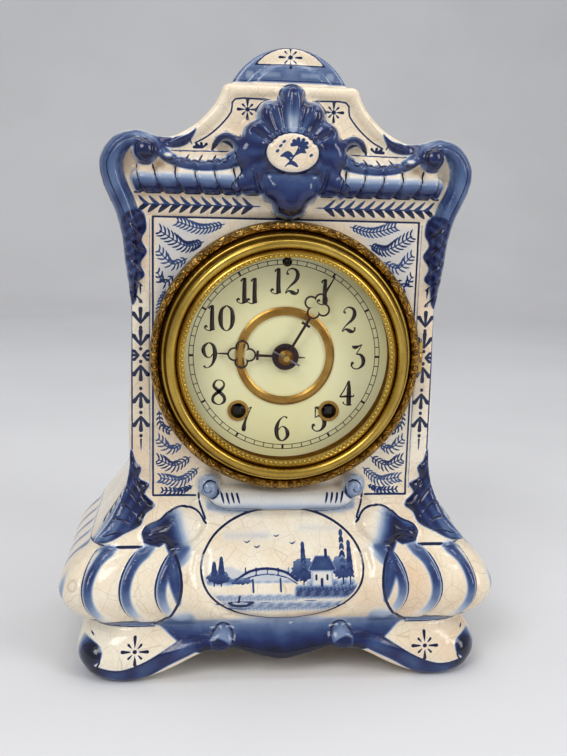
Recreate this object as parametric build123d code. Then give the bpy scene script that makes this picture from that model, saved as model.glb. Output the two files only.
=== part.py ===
from build123d import *
import os
from math import acos, atan2, cos, hypot, pi, radians, sin

# Glazed ceramic mantel clock with an eight-day time and strike movement.
# Millimetres. X is to the viewer's right, Y points away from the viewer, Z is up.
# The origin is under the middle of the case, on the surface that the feet stand on.
# Outlines of wheels, hands and plates are drawn in x and z, measured from the dial centre.

os.makedirs("parts", exist_ok=True)

# Ceramic case: heights above the feet
DIAL_Z = 162.0
FOOT_WAIST_Z = 26.0
BULGE_MID_Z = 42.0
LEDGE_Z = 66.0
BODY_Z = 104.0
CREST_Z = 292.0
DOME_TOP_Z = 311.0
APRON_Z = 10.5

# Ceramic case: half widths
FOOT_HALF_WIDTH = 103.0
FOOT_WAIST_HALF_WIDTH = 92.0
BULGE_HALF_WIDTH = 113.5
LEDGE_HALF_WIDTH = 98.0
BODY_HALF_WIDTH = 76.5
VOLUTE_HALF_WIDTH = 91.0
CREST_HALF_WIDTH = 31.0
DOME_HALF_WIDTH = 28.0

# Ceramic case: depths
CASE_DEPTH = 110.0
BACK_Y = CASE_DEPTH / 2
FRONT_Y = -CASE_DEPTH / 2
PANEL_SETBACK = 29.0
PANEL_Y = FRONT_Y + PANEL_SETBACK
LEDGE_SETBACK = 13.0
FOOT_WAIST_SETBACK = 12.0
FOOT_SETBACK = 0.6
CORNER_RADIUS = 22.0
CASE_WALL = 7.0
BACK_WALL = 9.0
FLOOR_THICKNESS = 7.0
PANEL_HALF_WIDTH = 65.0
PANEL_HALF_HEIGHT = 70.0
PANEL_DROP = 3.0
PANEL_LINE_WIDTH = 1.6
PANEL_LINE_RISE = 0.8
PANEL_LINE_CLEARANCE = 4.0
FLOOR_VENT_RADIUS = 28.0

# Raised ornament on the case
VOLUTE_RADIUS = 17.3
VOLUTE_Z = 252.4
VOLUTE_RISE = 11.0
VOLUTE_EYE_RADIUS = 5.5
VOLUTE_EYE_RISE = 14.0
ROPE_RADIUS = 6.6
ROPE_Z = 246.5
ROPE_RISE = 9.0
ROPE_PITCH = 9.8
ROPE_BEADS_PER_SIDE = 6
ROPE_BEAD_GAP = 1.0
CARTOUCHE_RISE = 13.0
MEDALLION_Z = 260.4
MEDALLION_HALF_WIDTH = 13.0
MEDALLION_HALF_HEIGHT = 9.4
MEDALLION_RISE = 16.5
COLLAR_Z = 88.0
COLLAR_RADIUS = 5.0
CURL_Z = 95.0
COLLAR_HALF_LENGTH = 38.0
COLLAR_RISE = 8.0
RELIEF_RISE = 1.8
PICTURE_Z = 57.0
PICTURE_HALF_WIDTH = 40.5
PICTURE_HALF_HEIGHT = 26.0
PICTURE_RIM = 3.0
RIB_WIDTH = 3.2
RIB_RADIUS = 20.0
RIB_CENTRES_X = (41.0, 58.5, 77.0)
RIB_CENTRE_Z = 48.0
RIB_HALF_SPAN = 18.0
DOME_SETBACK = 8.0
DOME_DEPTH = 38.0
DOME_BAND = 8.0

# Openings in the case
SEAT_RADIUS = 59.0
BACK_OPENING_RADIUS = 52.0
FOOT_GAP_HALF_WIDTH = 46.0
SIDE_GAP_FRONT_Y = -30.0
SIDE_GAP_BACK_Y = 31.0
SIDE_GAP_Z = 9.0

# Dial, pan and glazed door, measured forward of the panel
PAN_FLANGE_RADIUS = 64.0
PAN_SHEET = 1.0
PAN_DEPTH = 9.0
PAN_HOLE_RADIUS = 28.0
SEAT_CLEARANCE = 0.5
DIAL_RADIUS = 52.0
DIAL_SHEET = 0.9
DIAL_ENAMEL = 1.0
DIAL_CENTRE_RADIUS = 22.5
DIAL_STEP = 0.4
GILT_INNER_RADIUS = 20.6
GILT_OUTER_RADIUS = 24.8
GILT_THICKNESS = 1.2
WINDING_X = 23.0
WINDING_Z = -28.0
GROMMET_RADIUS = 5.3
GROMMET_BORE = 3.9
GROMMET_TUBE = 4.5
HOLE_CLEARANCE = 0.1
REGULATOR_Z = 47.0
REGULATOR_HOLE_RADIUS = 2.4
DOOR_GAP = 0.5
DOOR_OPENING_RADIUS = 50.0
DOOR_WALL = 1.6
ROPE_RIM_RADIUS = 66.8
ROPE_RIM_INNER_RADIUS = 62.8
ROPE_RIM_RISE = 12.0
RIM_BOSSES = 24
GLASS_RADIUS = 53.4
GLASS_THICKNESS = 2.0
GLASS_RISE = 15.2
GLASS_CLEARANCE = 0.15
HINGE_X = 68.8
HINGE_RISE = 1.9
KNUCKLE_RADIUS = 1.6
HINGE_PIN_RADIUS = 0.7
HINGE_CLEARANCE = 0.05
KNUCKLE_LENGTH = 5.0
KNUCKLE_GAP = 0.2

# Movement plates, measured back from the panel
FRONT_PLATE_SETBACK = 12.0
PLATE_THICKNESS = 1.6
PLATE_SPACING = 25.0
PLATE_RADIUS = 54.0
PLATE_HALF_WIDTH = 52.0
PILLAR_RADIUS = 3.2
PILLAR_PIVOT_RADIUS = 1.9
PILLAR_CIRCLE = 48.5
PILLAR_ANGLES = (35.0, 145.0, 187.0, 270.0, 353.0)
PAN_SCREW_RADIUS = 1.2
PAN_SCREW_HEAD_RADIUS = 2.4
PAN_SCREW_HEAD = 1.2
PAN_SCREW_LENGTH = 6.0
NUT_RADIUS = 3.4
NUT_THICKNESS = 2.2
ARBOR_RADIUS = 1.1
PIVOT_RADIUS = 0.7
PIVOT_CLEARANCE = 0.05
WHEEL_THICKNESS = 1.3
END_SHAKE = 0.2

# Wheelwork of both trains
PINION_LEAVES = 8
GREAT_TEETH = 60
GREAT_MODULE = 0.66
SECOND_TEETH = 64
SECOND_MODULE = 0.6
THIRD_TEETH = 48
THIRD_MODULE = 0.5
WARNING_TEETH = 42
WARNING_MODULE = 0.5
ESCAPE_TEETH = 30
ESCAPE_RADIUS = 9.0
ESCAPE_Z = 18.0
THIRD_X = 13.5
WARNING_HEADING = 148.0
FLY_HEADING = 72.0
FLY_RADIUS = 8.6
VERGE_Z = 31.0
TOOTH_SHARE = 0.34
TIP_SHARE = 0.18
ADDENDUM = 0.75
DEDENDUM = 1.05
PIN_SHARE = 0.17
SHROUD_THICKNESS = 0.8
PIN_WHEEL_PINS = 12
PIN_WHEEL_CIRCLE = 10.6
MAINSPRING_TURNS = 9
MAINSPRING_STRIP = 0.45
MAINSPRING_HEIGHT = 14.0
MAINSPRING_INNER = 5.0
MAINSPRING_PITCH = 1.55
RATCHET_TEETH = 20
RATCHET_RADIUS = 8.5
WINDING_SQUARE = 3.6
WINDING_SHAFT_RADIUS = 2.3

# Motion work and hands
CANNON_TEETH = 12
MINUTE_TEETH = 36
MINUTE_PINION_TEETH = 10
HOUR_TEETH = 40
MOTION_MODULE = 0.6
MINUTE_HEADING = 152.0
MINUTE_STUD_RADIUS = 1.0
CENTRE_ARBOR_RADIUS = 1.4
CANNON_RADIUS = 2.1
HOUR_PIPE_RADIUS = 3.2
RUNNING_CLEARANCE = 0.06
HOUR_HAND_LENGTH = 34.0
MINUTE_HAND_LENGTH = 46.5
HAND_THICKNESS = 0.5
HOUR_HUB_RADIUS = 6.7
MINUTE_HUB_RADIUS = 4.2
SHOWN_HOUR_ANGLE = 272.5
SHOWN_MINUTE_ANGLE = 30.0
WASHER_RADIUS = 3.7
TAPER_PIN_LENGTH = 15.0
TAPER_PIN_RADIUS = 0.45

# Pendulum, hammer and gong, measured back from the movement's back plate
CRUTCH_SETBACK = 3.0
PENDULUM_SETBACK = 6.5
PENDULUM_LENGTH = 108.0
PENDULUM_ROD_RADIUS = 0.7
BOB_RADIUS = 13.0
BOB_HALF_THICKNESS = 3.4
SUSPENSION_WIDTH = 2.4
SUSPENSION_THICKNESS = 0.15
SUSPENSION_LENGTH = 6.0
RATING_NUT_RADIUS = 2.6
HAMMER_X = -40.0
HAMMER_Z = 16.0
HAMMER_HEAD_RADIUS = 3.4
HAMMER_HEAD_LENGTH = 9.0
HAMMER_WIRE_RADIUS = 0.9
GONG_Z = -66.0
GONG_TURNS = 5
GONG_WIRE_RADIUS = 1.2
GONG_INNER = 7.0
GONG_PITCH = 5.4
GONG_SETBACK = 16.5
GONG_BOSS_RADIUS = 6.0
GONG_SCREW_RADIUS = 2.0

# Rear door and the bolts that draw the dial pan and the rear frame together
REAR_FRAME_RADIUS = 58.0
REAR_FRAME_BORE = 44.0
REAR_FRAME_SHEET = 1.2
REAR_RECESS = 5.0
REAR_RECESS_CLEARANCE = 0.6
REAR_DOOR_RADIUS = 46.8
REAR_DOOR_SHEET = 1.0
REAR_DOOR_GAP = 0.2
REAR_HINGE_X = 49.4
REAR_KNUCKLE_RADIUS = 1.2
REAR_PIN_RADIUS = 0.5
REAR_KNUCKLE_LENGTH = 5.0
REAR_KNOB_RADIUS = 2.6
REAR_KNOB_X = -36.0
REAR_VENTS = 8
REAR_VENT_RADIUS = 3.0
REAR_VENT_CIRCLE = 26.0
LATCH_CIRCLE = 50.4
LATCH_ANGLE = 160.0
LATCH_REACH = 7.5
LATCH_WIDTH = 4.0
LATCH_THICKNESS = 1.0
GONG_POCKET_RADIUS = 4.8
GONG_POCKET_DEPTH = 3.0
GONG_NUT_RADIUS = 3.6
CASE_BOLT_RADIUS = 1.5
CASE_BOLT_CIRCLE = 55.8
CASE_BOLT_ANGLES = (0.0, 180.0)
CASE_BOLT_HEAD_RADIUS = 2.8

# Depths worked out from the sizes above
FRONT_PLATE_Y = PANEL_Y + FRONT_PLATE_SETBACK
INSIDE_FRONT_Y = FRONT_PLATE_Y + PLATE_THICKNESS
INSIDE_BACK_Y = INSIDE_FRONT_Y + PLATE_SPACING
BACK_PLATE_END_Y = INSIDE_BACK_Y + PLATE_THICKNESS
DIAL_BACK_Y = PANEL_Y - PAN_SHEET
DIAL_SHEET_Y = DIAL_BACK_Y - DIAL_SHEET
DIAL_FACE_Y = DIAL_SHEET_Y - DIAL_ENAMEL
GREAT_Y = INSIDE_FRONT_Y + 6.0
SECOND_Y = INSIDE_FRONT_Y + 1.7
THIRD_Y = INSIDE_BACK_Y - 7.0
ESCAPE_Y = INSIDE_FRONT_Y + 11.5
PIN_WHEEL_Y = THIRD_Y - 4.5
WARNING_Y = INSIDE_FRONT_Y + 8.0
FLY_BLADE_Y = INSIDE_BACK_Y - 5.5
REAR_FRAME_Y = BACK_Y - REAR_RECESS
REAR_DOOR_Y = REAR_FRAME_Y + REAR_FRAME_SHEET + REAR_DOOR_GAP
REAR_HINGE_Y = REAR_DOOR_Y + REAR_DOOR_SHEET + 0.3
INSIDE_BACK_WALL_Y = BACK_Y - BACK_WALL
PAN_FLOOR_Y = PANEL_Y + PAN_DEPTH


def rod(radius, y_front, y_back, x=0.0, z=0.0):
    """Round rod or disc along Y between two depths."""
    shape = Cylinder(radius, y_back - y_front, align=(Align.CENTER, Align.CENTER, Align.MIN))
    return Pos(x, y_front, DIAL_Z + z) * Rot(-90, 0, 0) * shape


def tube(outer, inner, y_front, y_back, x=0.0, z=0.0):
    """Round tube along Y between two depths."""
    return rod(outer, y_front, y_back, x, z) - rod(inner, y_front, y_back, x, z)


def plate(face, y_front, y_back, x=0.0, z=0.0):
    """Face drawn in x and z, given its thickness along Y."""
    shape = extrude(face, y_back - y_front)
    return Pos(x, y_back, DIAL_Z + z) * Rot(90, 0, 0) * shape


def turned(points):
    """Ring turned about the dial's axis from points of radius and depth."""
    return Pos(0, 0, DIAL_Z) * revolve(make_face(Polyline(points, close=True)), Axis.Y)


def polar(radius, degrees):
    """Point at an angle measured anticlockwise from the viewer's right."""
    return radius * cos(radians(degrees)), radius * sin(radians(degrees))


def pitch_radius(teeth, module):
    return teeth * module / 2


def gear_face(teeth, module, phase=0.0):
    """Wheel outline with straight-sided teeth, the first tooth at the phase angle."""
    middle = pitch_radius(teeth, module)
    pitch_angle = 2 * pi / teeth
    corners = []
    for tooth in range(teeth):
        centre = phase + tooth * pitch_angle
        for side, share, radius in (
            (-1, TOOTH_SHARE + 0.12, middle - DEDENDUM * module),
            (-1, TIP_SHARE, middle + ADDENDUM * module),
            (1, TIP_SHARE, middle + ADDENDUM * module),
            (1, TOOTH_SHARE + 0.12, middle - DEDENDUM * module),
        ):
            angle = centre + side * share * pitch_angle / 2
            corners.append((radius * cos(angle), radius * sin(angle)))
    return make_face(Polyline(corners, close=True))


def saw_face(teeth, tip_radius, root_radius, lean=0.75):
    """Ratchet or escape wheel outline with leaning teeth."""
    pitch_angle = 2 * pi / teeth
    corners = []
    for tooth in range(teeth):
        angle = tooth * pitch_angle
        tip_angle = angle + lean * pitch_angle
        corners.append((root_radius * cos(angle), root_radius * sin(angle)))
        corners.append((tip_radius * cos(tip_angle), tip_radius * sin(tip_angle)))
    return make_face(Polyline(corners, close=True))


def crossed(face, rim_radius, hub_radius, arms=5, arm_width=1.8):
    """Cuts the windows between the arms of a wheel."""
    windows = Circle(rim_radius) - Circle(hub_radius)
    for arm in range(arms):
        angle = 360 * arm / arms
        windows -= Rot(0, 0, angle) * Pos(rim_radius / 2, 0) * Rectangle(rim_radius + 2, arm_width)
    return face - windows


def wheel(teeth, module, phase, y_front, x, z):
    """Crossed wheel with its hub, without an arbor."""
    root = pitch_radius(teeth, module) - DEDENDUM * module
    face = crossed(gear_face(teeth, module, phase), root - 1.4, max(3.0, root * 0.25))
    return plate(face, y_front, y_front + WHEEL_THICKNESS, x, z)


def lantern_pinion(module, phase, y_front, y_back, x, z):
    """Pins held between two round shrouds."""
    middle = pitch_radius(PINION_LEAVES, module)
    pin_radius = PIN_SHARE * pi * module
    shroud_radius = middle + pin_radius + 0.4
    body = rod(shroud_radius, y_front, y_front + SHROUD_THICKNESS, x, z)
    body += rod(shroud_radius, y_back - SHROUD_THICKNESS, y_back, x, z)
    for pin in range(PINION_LEAVES):
        angle = phase + 2 * pi * pin / PINION_LEAVES
        pin_x = x + middle * cos(angle)
        pin_z = z + middle * sin(angle)
        body += rod(pin_radius, y_front, y_back, pin_x, pin_z)
    return body


def arbor(x, z, front=None, back=None):
    """Arbor between the plates with a thinner pivot in each plate."""
    low = INSIDE_FRONT_Y + END_SHAKE
    high = INSIDE_BACK_Y - END_SHAKE
    front = FRONT_PLATE_Y if front is None else front
    back = BACK_PLATE_END_Y if back is None else back
    return rod(PIVOT_RADIUS, front, back, x, z) + rod(ARBOR_RADIUS, low, high, x, z)


def mesh_phase(phase, teeth, heading, next_teeth):
    """Angle of the next wheel's first tooth so that its gap takes the tooth facing it."""
    lead = ((heading - phase) * teeth / (2 * pi)) % 1.0
    return heading + pi + 2 * pi * lead / next_teeth + pi / next_teeth


def heading_between(start, end):
    return atan2(end[1] - start[1], end[0] - start[0])


def meeting_point(start, start_reach, end, end_reach, side):
    """Point at one distance from start and another from end, on the chosen side."""
    span = hypot(end[0] - start[0], end[1] - start[1])
    cosine = (start_reach**2 + span**2 - end_reach**2) / (2 * start_reach * span)
    angle = heading_between(start, end) + side * acos(max(-1.0, min(1.0, cosine)))
    return start[0] + start_reach * cos(angle), start[1] + start_reach * sin(angle)


def spiral_face(inner, pitch, turns, width):
    """Flat strip wound in half circles, seen edge on."""
    half_step = pitch / 2
    edges = []
    ends = []
    for offset in (-width / 2, width / 2):
        radius = inner
        centre = 0.0
        points = []
        for half in range(2 * turns):
            sign = 1 if half % 2 == 0 else -1
            reach = radius + offset
            first = (centre + sign * reach, 0.0)
            top = (centre, sign * reach)
            last = (centre - sign * reach, 0.0)
            points.append((first, top, last))
            centre += sign * half_step
            radius += half_step
        edges.append(points)
        ends.append((points[0][0], points[-1][2]))
    outline = []
    for points in edges:
        for first, top, last in points:
            outline.append(ThreePointArc(first, top, last))
    outline.append(Line(ends[0][0], ends[1][0]))
    outline.append(Line(ends[0][1], ends[1][1]))
    return make_face(outline)


# Centres of the trains, as x and z from the dial centre
GREAT = (WINDING_X, WINDING_Z)
ESCAPE = (0.0, ESCAPE_Z)
third_reach = pitch_radius(THIRD_TEETH, THIRD_MODULE) + pitch_radius(PINION_LEAVES, THIRD_MODULE)
THIRD = (THIRD_X, ESCAPE_Z - (third_reach**2 - THIRD_X**2) ** 0.5)
great_reach = pitch_radius(GREAT_TEETH, GREAT_MODULE) + pitch_radius(PINION_LEAVES, GREAT_MODULE)
second_reach = pitch_radius(SECOND_TEETH, SECOND_MODULE) + pitch_radius(PINION_LEAVES, SECOND_MODULE)
SECOND = meeting_point(GREAT, great_reach, THIRD, second_reach, -1)
WARNING = (
    -THIRD[0] + third_reach * cos(radians(WARNING_HEADING)),
    THIRD[1] + third_reach * sin(radians(WARNING_HEADING)),
)
warning_reach = pitch_radius(WARNING_TEETH, WARNING_MODULE) + pitch_radius(PINION_LEAVES, WARNING_MODULE)
FLY = (
    WARNING[0] + warning_reach * cos(radians(FLY_HEADING)),
    WARNING[1] + warning_reach * sin(radians(FLY_HEADING)),
)


def mirrored(point):
    return -point[0], point[1]


def train_centres(side):
    """Great, second and third centres of one train; the strike train is the mirror image."""
    if side > 0:
        return GREAT, SECOND, THIRD
    return mirrored(GREAT), mirrored(SECOND), mirrored(THIRD)


def train_phases(side):
    """First tooth angles of the great, second and third wheels of one train."""
    great, second, third = train_centres(side)
    first = 0.0 if side > 0 else pi
    middle = mesh_phase(first, GREAT_TEETH, heading_between(great, second), PINION_LEAVES)
    last = mesh_phase(middle, SECOND_TEETH, heading_between(second, third), PINION_LEAVES)
    return first, middle, last


PIVOT_POINTS = [SECOND, THIRD, ESCAPE, mirrored(SECOND), mirrored(THIRD), WARNING, FLY]


def depth_section(half_width, setback, z, radius=CORNER_RADIUS):
    """Level section of the case, rounded at its front corners and run past its back."""
    depth = CASE_DEPTH + 2 * radius - setback
    middle_y = FRONT_Y + setback + depth / 2
    return Pos(0, middle_y, z) * RectangleRounded(2 * half_width, depth, radius)


def base_form(grow):
    """Swelling base under the body; grow moves its surface outwards."""
    levels = (
        (FOOT_WAIST_Z, FOOT_WAIST_HALF_WIDTH, FOOT_WAIST_SETBACK),
        (FOOT_WAIST_Z + 0.28 * (BULGE_MID_Z - FOOT_WAIST_Z), BULGE_HALF_WIDTH - 7.0, RELIEF_RISE + 4.4),
        (BULGE_MID_Z, BULGE_HALF_WIDTH, RELIEF_RISE),
        (BULGE_MID_Z + 0.5 * (LEDGE_Z - BULGE_MID_Z), BULGE_HALF_WIDTH - 5.0, RELIEF_RISE + 2.6),
        (LEDGE_Z, LEDGE_HALF_WIDTH, LEDGE_SETBACK),
    )
    sections = []
    for z, half_width, setback in levels:
        sections.append(depth_section(half_width + grow, setback - grow, z))
    return loft(sections)


def flare_form(shrink):
    """Hollow curve between the ledge and the body; shrink moves its surface inwards."""
    levels = (
        (LEDGE_Z, LEDGE_HALF_WIDTH, LEDGE_SETBACK, 18.0),
        (LEDGE_Z + 0.28 * (BODY_Z - LEDGE_Z), BODY_HALF_WIDTH + 13.5, PANEL_SETBACK - 8.0, 14.0),
        (LEDGE_Z + 0.6 * (BODY_Z - LEDGE_Z), BODY_HALF_WIDTH + 5.0, PANEL_SETBACK - 1.0, 9.0),
        (BODY_Z, BODY_HALF_WIDTH, PANEL_SETBACK, 5.0),
    )
    sections = []
    for z, half_width, setback, radius in levels:
        sections.append(depth_section(half_width - shrink, setback + shrink, z, radius))
    return loft(sections)


def foot_form():
    """Skirt below the waist that the four feet are cut from."""
    levels = (
        (0.0, FOOT_HALF_WIDTH - 5.0, FOOT_SETBACK + 4.0),
        (4.0, FOOT_HALF_WIDTH - 1.0, FOOT_SETBACK + 0.6),
        (13.0, FOOT_HALF_WIDTH, FOOT_SETBACK),
        (FOOT_WAIST_Z, FOOT_WAIST_HALF_WIDTH + 3.0, FOOT_SETBACK + 8.0),
    )
    sections = []
    for z, half_width, setback in levels:
        sections.append(depth_section(half_width, setback, z))
    return loft(sections)


def body_outline():
    """Front outline of the body with its shoulders and crest, right half mirrored."""
    edge_points = [
        (BODY_HALF_WIDTH, BODY_Z - 4.0),
        (BODY_HALF_WIDTH, DIAL_Z),
        (BODY_HALF_WIDTH + 1.5, VOLUTE_Z - 42.0),
        (BODY_HALF_WIDTH + 7.0, VOLUTE_Z - 18.0),
        (VOLUTE_HALF_WIDTH, VOLUTE_Z),
    ]
    volute_x = VOLUTE_HALF_WIDTH - VOLUTE_RADIUS
    side = Spline(edge_points)
    ear = ThreePointArc(
        edge_points[-1],
        (volute_x + VOLUTE_RADIUS * cos(pi / 4), VOLUTE_Z + VOLUTE_RADIUS * sin(pi / 4)),
        (volute_x, VOLUTE_Z + VOLUTE_RADIUS),
    )
    shoulder = Spline(
        [
            (volute_x, VOLUTE_Z + VOLUTE_RADIUS),
            (volute_x - 14.0, VOLUTE_Z + VOLUTE_RADIUS - 4.0),
            (CREST_HALF_WIDTH + 12.0, CREST_Z - 18.0),
            (CREST_HALF_WIDTH, CREST_Z),
        ]
    )
    crest = Line((CREST_HALF_WIDTH, CREST_Z), (0, CREST_Z))
    middle = Line((0, CREST_Z), (0, BODY_Z - 4.0))
    foot = Line((0, BODY_Z - 4.0), edge_points[0])
    half = make_face([side, ear, shoulder, crest, middle, foot])
    return half + mirror(half, about=Plane.YZ)


def upright(face, y_front, y_back):
    """Face drawn in x and z above the feet, given its thickness along Y."""
    return Pos(0, y_back, 0) * Rot(90, 0, 0) * extrude(face, y_back - y_front)


def case_body():
    """Upper body: slab with the crest outline and a raised line around the panel."""
    body = upright(body_outline(), PANEL_Y, BACK_Y)
    panel_z = DIAL_Z - PANEL_DROP
    outer = Rectangle(2 * PANEL_HALF_WIDTH + PANEL_LINE_WIDTH, 2 * PANEL_HALF_HEIGHT + PANEL_LINE_WIDTH)
    inner = Rectangle(2 * PANEL_HALF_WIDTH - PANEL_LINE_WIDTH, 2 * PANEL_HALF_HEIGHT - PANEL_LINE_WIDTH)
    line = Pos(0, panel_z) * (outer - inner)
    line -= Pos(0, DIAL_Z) * Circle(ROPE_RIM_RADIUS + PANEL_LINE_CLEARANCE)
    return body + upright(line, PANEL_Y - PANEL_LINE_RISE, PANEL_Y)


def dome():
    """Half-round head behind the crest with a raised band."""
    sagitta = DOME_TOP_Z - CREST_Z - 2.0
    radius = (DOME_HALF_WIDTH**2 + sagitta**2) / (2 * sagitta)
    centre_z = DOME_TOP_Z - radius
    keep = Pos(0, CREST_Z + 3.0) * Rectangle(2 * DOME_HALF_WIDTH + 6.0, 40.0)
    front = PANEL_Y + DOME_SETBACK
    full = upright((Pos(0, centre_z) * Circle(radius)) & keep, front, front + DOME_DEPTH)
    inner = upright((Pos(0, centre_z) * Circle(radius - DOME_BAND)) & keep, front - 3.0, front)
    return full + inner


def shoulders():
    """Scrolled ears at the top corners, each with a raised eye."""
    body = None
    for side in (-1, 1):
        centre_x = side * (VOLUTE_HALF_WIDTH - VOLUTE_RADIUS)
        ear = upright(Pos(centre_x, VOLUTE_Z) * Circle(VOLUTE_RADIUS), PANEL_Y - VOLUTE_RISE, PANEL_Y)
        eye_x = centre_x - side * 0.3 * VOLUTE_RADIUS
        eye_z = VOLUTE_Z + 0.45 * VOLUTE_RADIUS
        eye = upright(Pos(eye_x, eye_z) * Circle(VOLUTE_EYE_RADIUS), PANEL_Y - VOLUTE_EYE_RISE, PANEL_Y)
        strap_outline = [
            (side * (BODY_HALF_WIDTH - 12.0), VOLUTE_Z - 6.0),
            (side * (VOLUTE_HALF_WIDTH - 1.0), VOLUTE_Z - 5.0),
            (side * (BODY_HALF_WIDTH + 1.5), VOLUTE_Z - 40.0),
            (side * (BODY_HALF_WIDTH - 3.0), VOLUTE_Z - 52.0),
        ]
        strap = upright(make_face(Polyline(strap_outline, close=True)), PANEL_Y - 0.5 * VOLUTE_RISE, PANEL_Y)
        piece = ear + eye + strap
        body = piece if body is None else body + piece
    return body


def rope_bar():
    """Beaded bar across the top with the plain band under it."""
    reach = VOLUTE_HALF_WIDTH - VOLUTE_RADIUS
    bar = Pos(0, PANEL_Y - ROPE_RISE / 2, ROPE_Z) * Box(2 * reach, ROPE_RISE, 1.5 * ROPE_RADIUS)
    start = reach - ROPE_BEADS_PER_SIDE * ROPE_PITCH
    for bead in range(ROPE_BEADS_PER_SIDE):
        for side in (-1, 1):
            x = side * (start + (bead + 0.5) * ROPE_PITCH)
            shape = Rot(0, 90, 0) * Cylinder(ROPE_RADIUS, ROPE_PITCH - ROPE_BEAD_GAP)
            bar += Pos(x, PANEL_Y - ROPE_RISE, ROPE_Z) * shape
    return bar


def cartouche():
    """Scalloped shell in the middle of the crest with its medallion and clasp."""
    lobes = (
        (0.0, 276.5, 14.5),
        (15.0, 270.0, 11.5),
        (27.0, 262.0, 9.5),
        (12.0, 254.0, 10.0),
    )
    outline = None
    for x, z, radius in lobes:
        for side in (-1, 1):
            lobe = Pos(side * x, z) * Circle(radius)
            outline = lobe if outline is None else outline + lobe
    clasp = Pos(0, 246.0) * Rectangle(26.0, 17.0)
    drop = Pos(0, 239.0) * Circle(8.5)
    shell = upright(outline, PANEL_Y - CARTOUCHE_RISE, PANEL_Y)
    shell += upright(clasp + drop, PANEL_Y - CARTOUCHE_RISE - 4.0, PANEL_Y)
    oval = Pos(0, MEDALLION_Z) * Ellipse(MEDALLION_HALF_WIDTH, MEDALLION_HALF_HEIGHT)
    return shell + upright(oval, PANEL_Y - MEDALLION_RISE, PANEL_Y)


def collar():
    """Rolled collar under the dial with a curl at each end."""
    centre = Pos(0, PANEL_Y - COLLAR_RISE, COLLAR_Z)
    roll = centre * Rot(0, 90, 0) * Cylinder(COLLAR_RADIUS, 2 * COLLAR_HALF_LENGTH)
    backing = Pos(0, PANEL_Y - COLLAR_RISE / 2, COLLAR_Z) * Box(2 * COLLAR_HALF_LENGTH, COLLAR_RISE, 9.0)
    curls = None
    for side in (-1, 1):
        curl = Pos(side * COLLAR_HALF_LENGTH, CURL_Z) * Circle(COLLAR_RADIUS + 1.5)
        piece = upright(curl, PANEL_Y - COLLAR_RISE - 5.0, PANEL_Y)
        curls = piece if curls is None else curls + piece
    return roll + backing + curls


def base_relief():
    """Oval picture rim and curved ribs that stand proud of the swelling base."""
    oval = Ellipse(PICTURE_HALF_WIDTH + PICTURE_RIM, PICTURE_HALF_HEIGHT + PICTURE_RIM)
    pattern = Pos(0, PICTURE_Z) * (oval - Ellipse(PICTURE_HALF_WIDTH, PICTURE_HALF_HEIGHT))
    ring = Circle(RIB_RADIUS + RIB_WIDTH / 2) - Circle(RIB_RADIUS - RIB_WIDTH / 2)
    rib = ring & Pos(RIB_RADIUS + 5.0, 0) * Rectangle(2 * RIB_RADIUS, 2 * RIB_HALF_SPAN)
    for centre_x in RIB_CENTRES_X:
        right_rib = Pos(centre_x, RIB_CENTRE_Z) * rib
        pattern += right_rib
        pattern += mirror(right_rib, about=Plane.YZ)
    prism = upright(pattern, FRONT_Y - 10.0, FRONT_Y + 26.0)
    return prism & base_form(RELIEF_RISE)


def foot_gap():
    """Space under the apron between the two front feet, seen from the front."""
    half = [
        (0.0, APRON_Z),
        (12.0, APRON_Z + 2.2),
        (24.0, APRON_Z + 5.5),
        (38.0, APRON_Z + 5.0),
        (52.0, APRON_Z - 1.5),
        (FOOT_GAP_HALF_WIDTH + 20.0, 2.6),
        (FOOT_GAP_HALF_WIDTH + 27.0, 0.0),
    ]
    edge = Spline(half)
    close_bottom = Polyline([half[-1], (half[-1][0], -3.0), (0.0, -3.0), half[0]])
    face = make_face([edge, close_bottom])
    return face + mirror(face, about=Plane.YZ)


def ceramic_case():
    """Whole hollow case: feet, swelling base, body, shoulders, crest and dome."""
    behind = Pos(0, BACK_Y + 60.0, 160.0) * Box(400, 120, 400)
    solid = foot_form() + base_form(0.0) + flare_form(0.0) - behind
    solid += case_body()
    solid += dome()
    solid += shoulders() + rope_bar() + cartouche() + collar()
    solid += base_relief() - behind
    solid -= upright(foot_gap(), FRONT_Y - 5.0, BACK_Y + 5.0)
    side_gap_length = SIDE_GAP_BACK_Y - SIDE_GAP_FRONT_Y
    side_gap_y = (SIDE_GAP_BACK_Y + SIDE_GAP_FRONT_Y) / 2
    solid -= Pos(0, side_gap_y, SIDE_GAP_Z / 2 - 1.0) * Box(260, side_gap_length, SIDE_GAP_Z + 2.0)
    return hollow(solid)


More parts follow.
